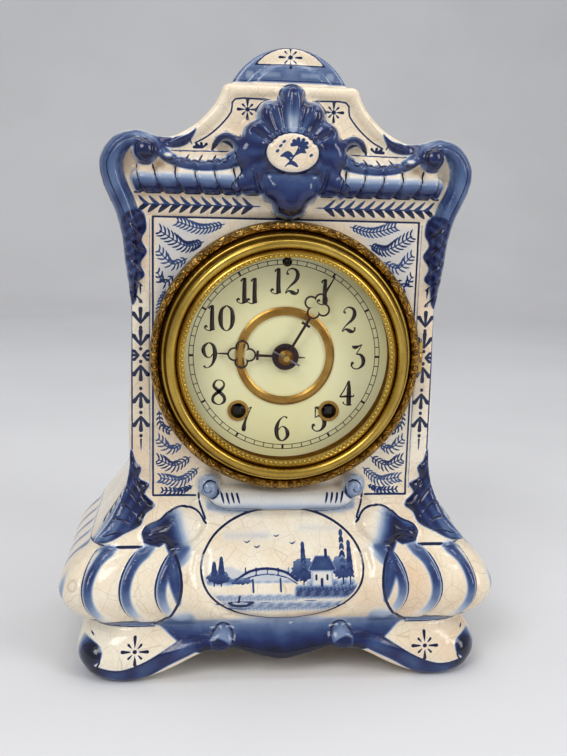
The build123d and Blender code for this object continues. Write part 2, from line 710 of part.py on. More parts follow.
def hollow(solid):
    """Cuts the inside of the case, its seats and its holes."""
    floor_top = FOOT_WAIST_Z + FLOOR_THICKNESS
    before_back = Pos(0, INSIDE_BACK_WALL_Y - 100.0, floor_top + 150.0) * Box(400, 200, 300)
    below = (base_form(-CASE_WALL) + flare_form(CASE_WALL)) & before_back
    low = BODY_Z - 6.0
    high = VOLUTE_Z + 6.0
    front = PANEL_Y + CASE_WALL
    width = 2 * (BODY_HALF_WIDTH - CASE_WALL)
    above = Box(width, INSIDE_BACK_WALL_Y - front, high - low)
    above = Pos(0, (front + INSIDE_BACK_WALL_Y) / 2, (low + high) / 2) * above
    solid -= below + above
    solid -= rod(SEAT_RADIUS, PANEL_Y - 1.0, front + 1.0)
    solid -= rod(BACK_OPENING_RADIUS, INSIDE_BACK_WALL_Y - 1.0, BACK_Y + 1.0)
    solid -= rod(REAR_FRAME_RADIUS + REAR_RECESS_CLEARANCE, REAR_FRAME_Y, BACK_Y + 1.0)
    for angle in CASE_BOLT_ANGLES:
        x, z = polar(CASE_BOLT_CIRCLE, angle)
        solid -= rod(CASE_BOLT_RADIUS + 0.4, INSIDE_BACK_WALL_Y - 1.0, BACK_Y, x, z)
    solid -= rod(GONG_SCREW_RADIUS + HOLE_CLEARANCE, INSIDE_BACK_WALL_Y - 1.0, BACK_Y + 1.0, 0.0, GONG_Z)
    solid -= rod(GONG_POCKET_RADIUS, BACK_Y - GONG_POCKET_DEPTH, BACK_Y + 1.0, 0.0, GONG_Z)
    skirt_high = FOOT_WAIST_Z - 4.0
    skirt_width = 2 * (FOOT_WAIST_HALF_WIDTH - CASE_WALL)
    skirt = Box(skirt_width, CASE_DEPTH - 2 * FOOT_WAIST_SETBACK - 2 * CASE_WALL, 2 * skirt_high)
    return solid - skirt - Pos(0, 0, floor_top) * Cylinder(FLOOR_VENT_RADIUS, 40)


def dial_pan():
    """Spun pan that sits in the case's front seat and carries the dial and the movement."""
    tube_outer = SEAT_RADIUS - SEAT_CLEARANCE
    front = PANEL_Y - PAN_SHEET
    back = PAN_FLOOR_Y
    pan = turned(
        [
            (DIAL_RADIUS - 2.0, front),
            (PAN_FLANGE_RADIUS, front),
            (PAN_FLANGE_RADIUS, PANEL_Y),
            (tube_outer, PANEL_Y),
            (tube_outer, back),
            (PAN_HOLE_RADIUS, back),
            (PAN_HOLE_RADIUS, back - PAN_SHEET),
            (tube_outer - PAN_SHEET, back - PAN_SHEET),
            (tube_outer - PAN_SHEET, PANEL_Y),
            (DIAL_RADIUS - 2.0, PANEL_Y),
        ]
    )
    for side in (-1, 1):
        pan -= rod(GROMMET_TUBE, front - 1.0, back + 1.0, side * WINDING_X, WINDING_Z)
    pan -= rod(REGULATOR_HOLE_RADIUS, front - 1.0, back + 1.0, 0.0, REGULATOR_Z)
    for angle in CASE_BOLT_ANGLES:
        x, z = polar(CASE_BOLT_CIRCLE, angle)
        pan -= rod(CASE_BOLT_RADIUS, PANEL_Y + 1.0, back + 1.0, x, z)
    for x, z in pillar_points():
        pan -= rod(PAN_SCREW_RADIUS, PANEL_Y + 1.0, back + 1.0, x, z)
    return pan


def dial_disc(radius, bore, y_front, y_back):
    """Round sheet of the dial with its winding and regulator holes."""
    sheet = tube(radius, bore, y_front, y_back)
    for side in (-1, 1):
        hole = rod(GROMMET_TUBE + HOLE_CLEARANCE, y_front - 1, y_back + 1, side * WINDING_X, WINDING_Z)
        sheet -= hole
    return sheet - rod(REGULATOR_HOLE_RADIUS, y_front - 1, y_back + 1, 0.0, REGULATOR_Z)


def dial_centre_ring():
    """Gilt ring over the joint between the chapter ring and the dial's centre."""
    front = DIAL_FACE_Y - GILT_THICKNESS
    return turned(
        [
            (GILT_INNER_RADIUS, DIAL_FACE_Y + DIAL_STEP),
            (GILT_INNER_RADIUS, front + 0.5),
            (GILT_INNER_RADIUS + 1.0, front),
            (GILT_OUTER_RADIUS - 1.0, front),
            (GILT_OUTER_RADIUS, front + 0.5),
            (GILT_OUTER_RADIUS, DIAL_FACE_Y),
            (DIAL_CENTRE_RADIUS, DIAL_FACE_Y),
            (DIAL_CENTRE_RADIUS, DIAL_FACE_Y + DIAL_STEP),
        ]
    )


def winding_grommets():
    """Two eyelets around the winding holes."""
    eyelets = []
    for side in (-1, 1):
        x = side * WINDING_X
        flange = tube(GROMMET_RADIUS, GROMMET_BORE, DIAL_FACE_Y - 0.6, DIAL_FACE_Y, x, WINDING_Z)
        sleeve = tube(GROMMET_TUBE, GROMMET_BORE, DIAL_FACE_Y - 0.6, DIAL_BACK_Y + 0.6, x, WINDING_Z)
        eyelets.append(flange + sleeve)
    return eyelets


def bezel_ring():
    """Hollow spun ring of the glazed door with its hinge knuckle."""
    back = PANEL_Y - PAN_SHEET - DOOR_GAP
    glass_back = PANEL_Y - GLASS_RISE
    glass_front = glass_back - GLASS_THICKNESS
    points = [
        (ROPE_RIM_INNER_RADIUS, back),
        (ROPE_RIM_INNER_RADIUS, PANEL_Y - 9.0),
        (ROPE_RIM_INNER_RADIUS - 1.2, PANEL_Y - 11.4),
        (ROPE_RIM_INNER_RADIUS - 2.6, glass_back + 0.6),
        (ROPE_RIM_INNER_RADIUS - 4.4, glass_back),
        (DOOR_OPENING_RADIUS + 7.4, glass_front - 1.4),
        (DOOR_OPENING_RADIUS + 5.8, glass_front - 2.8),
        (DOOR_OPENING_RADIUS + 4.2, glass_front - 2.4),
        (DOOR_OPENING_RADIUS + 2.0, glass_front - 1.4),
        (DOOR_OPENING_RADIUS, glass_front - 1.4),
        (DOOR_OPENING_RADIUS, glass_front - GLASS_CLEARANCE),
        (GLASS_RADIUS + GLASS_CLEARANCE, glass_front - GLASS_CLEARANCE),
        (GLASS_RADIUS + GLASS_CLEARANCE, glass_back + 1.2),
        (GLASS_RADIUS + 2.2, glass_back + 1.2),
        (GLASS_RADIUS + 4.8, glass_back + 2.6),
        (ROPE_RIM_INNER_RADIUS - 2.2, PANEL_Y - 8.0),
        (ROPE_RIM_INNER_RADIUS - DOOR_WALL, back),
    ]
    return turned(points)


def hinge_axis_y():
    return PANEL_Y - HINGE_RISE


def knuckle(z_low, z_high):
    """Hinge knuckle standing on the hinge axis."""
    shape = Cylinder(KNUCKLE_RADIUS, z_high - z_low, align=(Align.CENTER, Align.CENTER, Align.MIN))
    return Pos(HINGE_X, hinge_axis_y(), DIAL_Z + z_low) * shape


def hinge_bore():
    """Hole for the hinge pin through all three knuckles."""
    return Pos(HINGE_X, hinge_axis_y(), DIAL_Z) * Cylinder(HINGE_PIN_RADIUS + HINGE_CLEARANCE, 60)


def bezel_rope_rim():
    """Cast outer rim of the door with its bosses and the moving knuckle of the hinge."""
    back = PANEL_Y - PAN_SHEET - DOOR_GAP
    middle = (ROPE_RIM_RADIUS + ROPE_RIM_INNER_RADIUS) / 2
    front = PANEL_Y - ROPE_RIM_RISE
    rim = turned(
        [
            (ROPE_RIM_INNER_RADIUS, back),
            (ROPE_RIM_RADIUS, back),
            (ROPE_RIM_RADIUS, front + 2.4),
            (middle + 0.8, front),
            (middle - 0.8, front),
            (ROPE_RIM_INNER_RADIUS, front + 2.0),
        ]
    )
    for boss in range(RIM_BOSSES):
        x, z = polar(middle, 360 * (boss + 0.5) / RIM_BOSSES)
        rim += Pos(x, front, DIAL_Z + z) * Sphere(1.5)
    half = KNUCKLE_LENGTH / 2
    arm_y = hinge_axis_y() - 0.5
    arm = Pos(HINGE_X - 1.6, arm_y, DIAL_Z) * Box(3.2, 1.2, KNUCKLE_LENGTH)
    rim += (knuckle(-half, half) + arm) - rod(ROPE_RIM_RADIUS - 0.2, PANEL_Y - 20, PANEL_Y + 5)
    return rim - hinge_bore()


def hinge_leaf():
    """Fixed leaf of the door hinge with its two outer knuckles."""
    half = KNUCKLE_LENGTH / 2 + KNUCKLE_GAP
    height = 2 * half + 2 * KNUCKLE_LENGTH
    leaf = Pos(HINGE_X - 2.5, PANEL_Y - PAN_SHEET / 2, DIAL_Z) * Box(5.0, PAN_SHEET, height)
    leaf -= rod(PAN_FLANGE_RADIUS, PANEL_Y - 5, PANEL_Y + 5)
    leaf -= Pos(HINGE_X, hinge_axis_y(), DIAL_Z) * Cylinder(KNUCKLE_RADIUS + 0.3, 2 * half)
    leaf += knuckle(half, half + KNUCKLE_LENGTH)
    leaf += knuckle(-half - KNUCKLE_LENGTH, -half)
    return leaf - hinge_bore()


def hinge_pin():
    """Pin through the three knuckles with a small head at each end."""
    length = 3 * KNUCKLE_LENGTH + 2 * KNUCKLE_GAP
    pin = Pos(HINGE_X, hinge_axis_y(), DIAL_Z) * Cylinder(HINGE_PIN_RADIUS, length + 1.2)
    for side in (-1, 1):
        pin += Pos(HINGE_X, hinge_axis_y(), DIAL_Z + side * (length / 2 + 0.9)) * Cylinder(1.2, 1.0)
    return pin


def bezel_catch():
    """Spring clip on the pan that holds the door shut at its free edge."""
    x = -(PAN_FLANGE_RADIUS - 3.6)
    foot = Pos(x + 1.4, PANEL_Y - PAN_SHEET - 0.4, DIAL_Z) * Box(2.8, 0.8, 12.0)
    finger = Pos(x + 0.3, PANEL_Y - PAN_SHEET - 2.6, DIAL_Z) * Box(0.6, 4.4, 8.0)
    return foot + finger


def glass_pane():
    """Glass disc with a bevelled front edge."""
    back = PANEL_Y - GLASS_RISE
    front = back - GLASS_THICKNESS
    bevel = (GLASS_RADIUS, front + 0.9)
    return turned([(0, back), (GLASS_RADIUS, back), bevel, (DOOR_OPENING_RADIUS - 2.5, front), (0, front)])


def glass_retainer():
    """Thin ring that holds the glass in the door from behind."""
    back = PANEL_Y - GLASS_RISE
    return tube(GLASS_RADIUS, DOOR_OPENING_RADIUS + 0.8, back, back + 1.0)


def pillar_points():
    return [polar(PILLAR_CIRCLE, angle) for angle in PILLAR_ANGLES]


def movement_plate(y_front, y_back):
    """Round brass plate with flat sides and its pivot holes."""
    face = Circle(PLATE_RADIUS) & Rectangle(2 * PLATE_HALF_WIDTH, 2 * PLATE_RADIUS)
    sheet = plate(face, y_front, y_back)
    low = y_front - 1.0
    high = y_back + 1.0
    for x, z in PIVOT_POINTS:
        sheet -= rod(PIVOT_RADIUS + PIVOT_CLEARANCE, low, high, x, z)
    for x, z in pillar_points():
        sheet -= rod(PILLAR_PIVOT_RADIUS + HOLE_CLEARANCE, low, high, x, z)
    for side in (-1, 1):
        sheet -= rod(WINDING_SHAFT_RADIUS + PIVOT_CLEARANCE, low, high, side * WINDING_X, WINDING_Z)
    sheet -= rod(CENTRE_ARBOR_RADIUS + PIVOT_CLEARANCE, low, high)
    sheet -= rod(PIVOT_RADIUS + PIVOT_CLEARANCE, low, high, HAMMER_X, HAMMER_Z)
    sheet -= rod(PIVOT_RADIUS + PIVOT_CLEARANCE, low, high, 0.0, VERGE_Z)
    return sheet


def front_plate():
    sheet = movement_plate(FRONT_PLATE_Y, INSIDE_FRONT_Y)
    stud = minute_centre()
    sheet -= rod(MINUTE_STUD_RADIUS, FRONT_PLATE_Y - 1, INSIDE_FRONT_Y + 1, stud[0], stud[1])
    return sheet - rod(1.5 + RUNNING_CLEARANCE, FRONT_PLATE_Y - 1, INSIDE_FRONT_Y + 1, 0.0, REGULATOR_Z)


def back_plate():
    sheet = movement_plate(INSIDE_BACK_Y, BACK_PLATE_END_Y)
    return sheet - rod(1.5 + RUNNING_CLEARANCE, INSIDE_BACK_Y - 1, BACK_PLATE_END_Y + 1, 0.0, REGULATOR_Z)


def pillars():
    """Turned pillars that space the plates and reach forward to the pan's floor."""
    group = []
    for x, z in pillar_points():
        body = rod(PILLAR_RADIUS, INSIDE_FRONT_Y, INSIDE_BACK_Y, x, z)
        body += rod(PILLAR_PIVOT_RADIUS, FRONT_PLATE_Y, BACK_PLATE_END_Y + NUT_THICKNESS, x, z)
        body += rod(PILLAR_RADIUS, PAN_FLOOR_Y, FRONT_PLATE_Y, x, z)
        group.append(body - rod(PAN_SCREW_RADIUS, PAN_FLOOR_Y - 1, PAN_FLOOR_Y + PAN_SCREW_LENGTH, x, z))
    return group


def pan_screws():
    """Screws through the pan's floor into the pillars."""
    group = []
    for x, z in pillar_points():
        head = PAN_FLOOR_Y - PAN_SHEET
        screw = rod(PAN_SCREW_RADIUS, head, PAN_FLOOR_Y + PAN_SCREW_LENGTH, x, z)
        screw += rod(PAN_SCREW_HEAD_RADIUS, head - PAN_SCREW_HEAD, head, x, z)
        slot = Pos(x, head - PAN_SCREW_HEAD, DIAL_Z + z) * Box(2 * PAN_SCREW_HEAD_RADIUS, 0.8, 0.6)
        group.append(screw - slot)
    return group


def pillar_nuts():
    """Hexagon nuts behind the back plate."""
    group = []
    for x, z in pillar_points():
        nut = plate(RegularPolygon(NUT_RADIUS, 6), BACK_PLATE_END_Y, BACK_PLATE_END_Y + NUT_THICKNESS, x, z)
        group.append(nut - rod(PILLAR_PIVOT_RADIUS, BACK_PLATE_END_Y - 1, BACK_PLATE_END_Y + 5, x, z))
    return group


def great_wheel(side):
    """Great wheel, loose on its winding arbor."""
    x = side * WINDING_X
    phase = train_phases(side)[0]
    body = wheel(GREAT_TEETH, GREAT_MODULE, phase, GREAT_Y, x, WINDING_Z)
    hub = rod(4.6, GREAT_Y, GREAT_Y + 2.2, x, WINDING_Z)
    return body + hub - rod(WINDING_SHAFT_RADIUS + RUNNING_CLEARANCE, GREAT_Y - 1, GREAT_Y + 5, x, WINDING_Z)


def winding_arbor(side):
    """Winding arbor with its square, its ratchet wheel and the spring's core."""
    x = side * WINDING_X
    front = DIAL_FACE_Y + 1.2
    square = Pos(x, (front + FRONT_PLATE_Y - 1.5) / 2, DIAL_Z + WINDING_Z) * Box(
        WINDING_SQUARE, FRONT_PLATE_Y - 1.5 - front, WINDING_SQUARE
    )
    shaft = rod(WINDING_SHAFT_RADIUS, FRONT_PLATE_Y - 2.5, BACK_PLATE_END_Y + 0.5, x, WINDING_Z)
    ratchet = saw_face(RATCHET_TEETH, RATCHET_RADIUS, RATCHET_RADIUS - 1.3)
    ratchet = plate(ratchet, GREAT_Y - 2.2, GREAT_Y - 0.4, x, WINDING_Z)
    core = rod(MAINSPRING_INNER - 1.2, GREAT_Y + 2.6, INSIDE_BACK_Y - 0.4, x, WINDING_Z)
    return square + shaft + ratchet + core


def great_click(side):
    """Click riveted to the great wheel, resting beside the ratchet."""
    x = side * WINDING_X
    start = (0.0, RATCHET_RADIUS + 3.4)
    tip = (3.2, RATCHET_RADIUS + 0.55)
    outline = [
        (start[0] - 2.0, start[1] - 1.2),
        (start[0] - 2.0, start[1] + 1.2),
        (tip[0] + 2.4, tip[1] + 1.4),
        tip,
    ]
    finger = plate(make_face(Polyline(outline, close=True)), GREAT_Y - 2.0, GREAT_Y - 0.6, x, WINDING_Z)
    rivet = rod(1.1, GREAT_Y - 2.4, GREAT_Y, x + start[0] - 0.6, WINDING_Z + start[1])
    return finger + rivet


def mainspring(side):
    """Wound steel strip around the winding arbor's core."""
    face = spiral_face(MAINSPRING_INNER, MAINSPRING_PITCH, MAINSPRING_TURNS, MAINSPRING_STRIP)
    front = GREAT_Y + 3.0
    return plate(face, front, front + MAINSPRING_HEIGHT, side * WINDING_X, WINDING_Z)


def second_arbor(side):
    """Second arbor: pinion driven by the great wheel, wheel in front."""
    x, z = train_centres(side)[1]
    phase = train_phases(side)[1]
    body = arbor(x, z)
    body += lantern_pinion(GREAT_MODULE, phase, GREAT_Y - 1.4, GREAT_Y + 2.8, x, z)
    return body + wheel(SECOND_TEETH, SECOND_MODULE, phase, SECOND_Y, x, z)


def third_arbor(side, wheel_y):
    """Third arbor: pinion at the front, wheel nearer the back plate."""
    x, z = train_centres(side)[2]
    phase = train_phases(side)[2]
    body = arbor(x, z)
    body += lantern_pinion(SECOND_MODULE, phase, SECOND_Y - 1.3, SECOND_Y + 2.7, x, z)
    return body + wheel(THIRD_TEETH, THIRD_MODULE, phase, wheel_y, x, z)


def pin_wheel():
    """Third arbor of the strike train with the pins that lift the hammer."""
    x, z = train_centres(-1)[2]
    body = third_arbor(-1, PIN_WHEEL_Y)
    front = PIN_WHEEL_Y + WHEEL_THICKNESS
    for pin in range(PIN_WHEEL_PINS):
        pin_x, pin_z = polar(PIN_WHEEL_CIRCLE, 360 * (pin + 0.5) / PIN_WHEEL_PINS)
        body += rod(0.5, front - 0.2, front + 1.7, x + pin_x, z + pin_z)
    return body


def escape_arbor():
    """Escape wheel with thirty leaning teeth and its pinion."""
    x, z = ESCAPE
    phase = mesh_phase(train_phases(1)[2], THIRD_TEETH, heading_between(THIRD, ESCAPE), PINION_LEAVES)
    outline = saw_face(ESCAPE_TEETH, ESCAPE_RADIUS, ESCAPE_RADIUS - 1.5)
    face = crossed(outline, ESCAPE_RADIUS - 2.6, 2.2, 4, 1.2)
    body = arbor(x, z)
    body += lantern_pinion(THIRD_MODULE, phase, THIRD_Y - 1.3, THIRD_Y + 2.7, x, z)
    return body + plate(face, ESCAPE_Y, ESCAPE_Y + 0.9, x, z)


def warning_phase():
    start = mirrored(THIRD)
    return mesh_phase(train_phases(-1)[2], THIRD_TEETH, heading_between(start, WARNING), PINION_LEAVES)


def warning_arbor():
    """Warning arbor of the strike train."""
    x, z = WARNING
    phase = warning_phase()
    body = arbor(x, z)
    body += lantern_pinion(THIRD_MODULE, phase, PIN_WHEEL_Y - 1.3, PIN_WHEEL_Y + 2.7, x, z)
    return body + wheel(WARNING_TEETH, WARNING_MODULE, phase, WARNING_Y, x, z)


def fly_arbor():
    """Two-bladed air brake of the strike train."""
    x, z = FLY
    phase = mesh_phase(warning_phase(), WARNING_TEETH, heading_between(WARNING, FLY), PINION_LEAVES)
    body = arbor(x, z)
    body += lantern_pinion(WARNING_MODULE, phase, WARNING_Y - 1.3, WARNING_Y + 2.7, x, z)
    blade = Pos(x, FLY_BLADE_Y, DIAL_Z + z) * Box(2 * FLY_RADIUS, 8.0, 0.5)
    return body + blade


def verge():
    """Anchor over the escape wheel, its arbor and the crutch behind the plate."""
    body = arbor(0.0, VERGE_Z, back=BACK_PLATE_END_Y + CRUTCH_SETBACK + 1.0)
    reach = ESCAPE_RADIUS + 1.0
    arch_z = (ESCAPE_Z + VERGE_Z) / 2 + 3.0
    outline = [
        (-reach * 0.72, ESCAPE_Z + reach * 0.72),
        (-reach * 0.72 - 2.2, ESCAPE_Z + reach * 0.72 + 1.0),
        (-4.0, VERGE_Z + 2.4),
        (4.0, VERGE_Z + 2.4),
        (reach * 0.72 + 2.2, ESCAPE_Z + reach * 0.72 + 1.0),
        (reach * 0.72, ESCAPE_Z + reach * 0.72),
        (3.2, arch_z + 2.4),
        (-3.2, arch_z + 2.4),
    ]
    body += plate(make_face(Polyline(outline, close=True)), ESCAPE_Y - 0.4, ESCAPE_Y + 1.3)
    crutch_y = BACK_PLATE_END_Y + CRUTCH_SETBACK
    body += plate(Pos(0, VERGE_Z - 13.0) * Rectangle(1.4, 28.0), crutch_y - 0.6, crutch_y + 0.6)
    for side in (-1, 1):
        x = side * (PENDULUM_ROD_RADIUS + 0.75)
        fork_back = BACK_PLATE_END_Y + PENDULUM_SETBACK + 1.6
        body += rod(0.5, crutch_y - 0.4, fork_back, x, VERGE_Z - 26.4)
    bridge = plate(Pos(0, VERGE_Z - 26.4) * Rectangle(4.4, 1.6), crutch_y - 0.6, crutch_y + 0.6)
    return body + bridge


def suspension_post():
    """Brass post behind the back plate that the suspension spring hangs from."""
    y = BACK_PLATE_END_Y + PENDULUM_SETBACK
    z = VERGE_Z + SUSPENSION_LENGTH + 2.0
    foot = rod(3.0, BACK_PLATE_END_Y, BACK_PLATE_END_Y + 1.2, 0.0, z)
    neck = rod(1.8, BACK_PLATE_END_Y, y + 2.5, 0.0, z)
    block = Pos(0, y, DIAL_Z + z - 0.6) * Box(4.4, 5.0, 5.4)
    slot = Pos(0, y, DIAL_Z + z - 2.0) * Box(SUSPENSION_THICKNESS, 9.0, 3.4)
    return foot + neck + block - slot


def suspension_spring():
    """Thin steel strip whose bending point lies on the pendulum's axis."""
    y = BACK_PLATE_END_Y + PENDULUM_SETBACK
    z_low = VERGE_Z
    z_high = VERGE_Z + SUSPENSION_LENGTH + 1.7
    strip = Box(SUSPENSION_THICKNESS, SUSPENSION_WIDTH, z_high - z_low)
    return Pos(0, y, DIAL_Z + (z_low + z_high) / 2) * strip


def pendulum_rod():
    """Wire rod with its top ferrule, down through the bob to the rating thread."""
    y = BACK_PLATE_END_Y + PENDULUM_SETBACK
    top = VERGE_Z - 0.05
    low = VERGE_Z - PENDULUM_LENGTH - BOB_RADIUS - 5.0
    wire = Pos(0, y, DIAL_Z + (top + low) / 2) * Cylinder(PENDULUM_ROD_RADIUS, top - low)
    ferrule = Pos(0, y, DIAL_Z + top - 2.0) * Cylinder(1.3, 4.0)
    return wire + ferrule


def pendulum_bob():
    """Lens-shaped brass bob that slides on the rod."""
    y = BACK_PLATE_END_Y + PENDULUM_SETBACK
    rim = 0.9
    half = [
        (0, -BOB_HALF_THICKNESS),
        (BOB_RADIUS * 0.55, -BOB_HALF_THICKNESS * 0.8),
        (BOB_RADIUS, -rim),
        (BOB_RADIUS, rim),
        (BOB_RADIUS * 0.55, BOB_HALF_THICKNESS * 0.8),
        (0, BOB_HALF_THICKNESS),
    ]
    lens = revolve(make_face(Polyline(half, close=True)), Axis.Y)
    lens = Pos(0, y, DIAL_Z + VERGE_Z - PENDULUM_LENGTH) * lens
    bore = Pos(0, y, DIAL_Z + VERGE_Z - PENDULUM_LENGTH) * Cylinder(PENDULUM_ROD_RADIUS + 0.02, 60)
    return lens - bore


def rating_nut():
    """Knurled nut under the bob."""
    y = BACK_PLATE_END_Y + PENDULUM_SETBACK
    z = DIAL_Z + VERGE_Z - PENDULUM_LENGTH - BOB_RADIUS - 1.5
    return Pos(0, y, z) * (Cylinder(RATING_NUT_RADIUS, 3.0) - Cylinder(PENDULUM_ROD_RADIUS + 0.02, 5.0))


def minute_centre():
    reach = pitch_radius(CANNON_TEETH + MINUTE_TEETH, MOTION_MODULE)
    return polar(reach, MINUTE_HEADING)


def hour_module():
    return MOTION_MODULE * (CANNON_TEETH + MINUTE_TEETH) / (MINUTE_PINION_TEETH + HOUR_TEETH)


CANNON_Y = FRONT_PLATE_Y - 2.6
HOUR_WHEEL_Y = FRONT_PLATE_Y - 5.6
HOUR_HAND_Y = DIAL_FACE_Y - 2.6
MINUTE_HAND_Y = HOUR_HAND_Y - 2.2


def centre_arbor():
    """Centre arbor with the cannon pinion and the seat of the minute hand."""
    tip = MINUTE_HAND_Y - 4.4
    body = rod(CENTRE_ARBOR_RADIUS, tip, BACK_PLATE_END_Y + 0.4)
    body += rod(CANNON_RADIUS, MINUTE_HAND_Y + HAND_THICKNESS, FRONT_PLATE_Y - 0.3)
    body += plate(gear_face(CANNON_TEETH, MOTION_MODULE), CANNON_Y, CANNON_Y + 1.6)
    return body - taper_pin_shape(0.02)


def taper_pin_shape(grow=0.0):
    """Thin pin through the tip of the centre arbor."""
    y = MINUTE_HAND_Y - 2.6
    pin = Cylinder(TAPER_PIN_RADIUS + grow, TAPER_PIN_LENGTH)
    return Pos(0, y, DIAL_Z) * Rot(0, 118, 0) * pin


def minute_phase():
    return mesh_phase(0.0, CANNON_TEETH, radians(MINUTE_HEADING), MINUTE_TEETH)


def minute_wheel():
    """Minute wheel and its pinion on a stud of the front plate."""
    x, z = minute_centre()
    phase = minute_phase()
    body = wheel(MINUTE_TEETH, MOTION_MODULE, phase, CANNON_Y, x, z)
    pinion = gear_face(MINUTE_PINION_TEETH, hour_module(), phase)
    body += plate(pinion, HOUR_WHEEL_Y - 0.3, CANNON_Y, x, z)
    return body - rod(MINUTE_STUD_RADIUS + RUNNING_CLEARANCE, HOUR_WHEEL_Y - 2, FRONT_PLATE_Y, x, z)


def minute_stud():
    """Stud of the front plate that the minute wheel turns on."""
    x, z = minute_centre()
    stud = rod(MINUTE_STUD_RADIUS, HOUR_WHEEL_Y - 1.2, INSIDE_FRONT_Y, x, z)
    return stud + rod(MINUTE_STUD_RADIUS + 0.7, HOUR_WHEEL_Y - 1.6, HOUR_WHEEL_Y - 0.5, x, z)


def hour_wheel():
    """Hour wheel with the pipe that carries the hour hand."""
    phase = mesh_phase(minute_phase(), MINUTE_PINION_TEETH, radians(MINUTE_HEADING) + pi, HOUR_TEETH)
    face = crossed(gear_face(HOUR_TEETH, hour_module(), phase), 9.4, 4.6)
    body = plate(face, HOUR_WHEEL_Y, HOUR_WHEEL_Y + WHEEL_THICKNESS)
    pipe_front = HOUR_HAND_Y
    body += rod(HOUR_PIPE_RADIUS, pipe_front, HOUR_WHEEL_Y + WHEEL_THICKNESS)
    return body - rod(CANNON_RADIUS + RUNNING_CLEARANCE, pipe_front - 1, HOUR_WHEEL_Y + 3)


def hand_face(length, hub_radius, bore, flower, stem, tail):
    """Hand with a four-lobed ring, a cross bar and a thin tip, pointing at twelve."""
    flower_z = 0.64 * length
    lobe = 0.62 * flower
    shape = Circle(hub_radius)
    shape += Pos(0, flower_z / 2) * Rectangle(stem, flower_z)
    shape += Pos(0, 0.41 * length) * Rectangle(3.6 * stem, stem)
    tip = [(-stem * 0.5, flower_z + flower), (stem * 0.5, flower_z + flower), (0.25, length), (-0.25, length)]
    shape += make_face(Polyline(tip, close=True))
    if tail > 0:
        end = [(-stem * 0.7, 0), (stem * 0.7, 0), (0.2, -tail), (-0.2, -tail)]
        shape += make_face(Polyline(end, close=True))
    rings = None
    holes = None
    for quarter in range(4):
        x, z = polar(flower - lobe * 0.55, 90 * quarter)
        ring = Pos(x, flower_z + z) * Circle(lobe)
        hole = Pos(x, flower_z + z) * Circle(lobe - 0.9)
        rings = ring if rings is None else rings + ring
        holes = hole if holes is None else holes + hole
    centre = Pos(0, flower_z) * Circle(flower - lobe * 0.9)
    return shape + rings - holes - centre - Circle(bore)


def hour_hand():
    face = hand_face(HOUR_HAND_LENGTH, HOUR_HUB_RADIUS, HOUR_PIPE_RADIUS, 5.6, 1.3, 10.0)
    face = Rot(0, 0, -SHOWN_HOUR_ANGLE) * face
    return plate(face, HOUR_HAND_Y, HOUR_HAND_Y + HAND_THICKNESS)


def minute_hand():
    face = hand_face(MINUTE_HAND_LENGTH, MINUTE_HUB_RADIUS, CENTRE_ARBOR_RADIUS, 5.4, 1.3, 0.0)
    face = Rot(0, 0, -SHOWN_MINUTE_ANGLE) * face
    return plate(face, MINUTE_HAND_Y, MINUTE_HAND_Y + HAND_THICKNESS)


def hand_washer():
    """Dished brass washer between the minute hand and the taper pin."""
    front = MINUTE_HAND_Y - 2.6 + TAPER_PIN_RADIUS + 0.05
    return turned(
        [
            (CENTRE_ARBOR_RADIUS + 0.02, front),
            (CENTRE_ARBOR_RADIUS + 0.6, front),
            (WASHER_RADIUS, MINUTE_HAND_Y - 0.5),
            (WASHER_RADIUS, MINUTE_HAND_Y),
            (CENTRE_ARBOR_RADIUS + 0.02, MINUTE_HAND_Y),
        ]
    )


def regulator_arbor():
    """Rate adjuster reached through the dial near twelve."""
    body = rod(1.5, DIAL_FACE_Y + 0.6, BACK_PLATE_END_Y + 5.0, 0.0, REGULATOR_Z)
    body += rod(2.6, INSIDE_FRONT_Y + 0.2, INSIDE_FRONT_Y + 1.4, 0.0, REGULATOR_Z)
    return body - Pos(0, DIAL_FACE_Y + 0.6, DIAL_Z + REGULATOR_Z) * Box(0.6, 1.6, 4.0)


def hammer():
    """Hammer arbor with its lifting tail, wire and leather-faced head."""
    back = BACK_PLATE_END_Y + GONG_SETBACK
    body = arbor(HAMMER_X, HAMMER_Z, back=back + 1.2)
    tail_y = PIN_WHEEL_Y + WHEEL_THICKNESS + 1.8
    tail_span = mirrored(THIRD)[0] - PIN_WHEEL_CIRCLE - 2.0 - HAMMER_X
    tail = Pos(HAMMER_X + tail_span / 2, HAMMER_Z - 0.8) * Rectangle(tail_span, 1.2)
    body += plate(tail, tail_y - 1.6, tail_y - 0.4)
    wire_low = GONG_Z + 8.0
    wire_length = HAMMER_Z - wire_low
    wire = Cylinder(HAMMER_WIRE_RADIUS, wire_length)
    body += Pos(HAMMER_X, back, DIAL_Z + HAMMER_Z - wire_length / 2) * wire
    head = Rot(0, 90, 0) * Cylinder(HAMMER_HEAD_RADIUS, HAMMER_HEAD_LENGTH)
    return body + Pos(HAMMER_X - 1.0, back, DIAL_Z + wire_low) * head


def gong():
    """Flat coil of steel wire, wound in half circles."""
    y = BACK_PLATE_END_Y + GONG_SETBACK
    face = spiral_face(GONG_INNER, GONG_PITCH, GONG_TURNS, 2 * GONG_WIRE_RADIUS)
    coil = plate(face, y - GONG_WIRE_RADIUS, y + GONG_WIRE_RADIUS, 0.0, GONG_Z)
    stem = Pos(GONG_INNER - 2.0, y, DIAL_Z + GONG_Z) * Box(4.0 + GONG_WIRE_RADIUS, 2 * GONG_WIRE_RADIUS, 2.4)
    return coil + stem - rod(GONG_BOSS_RADIUS, y - 5, y + 5, 0.0, GONG_Z)


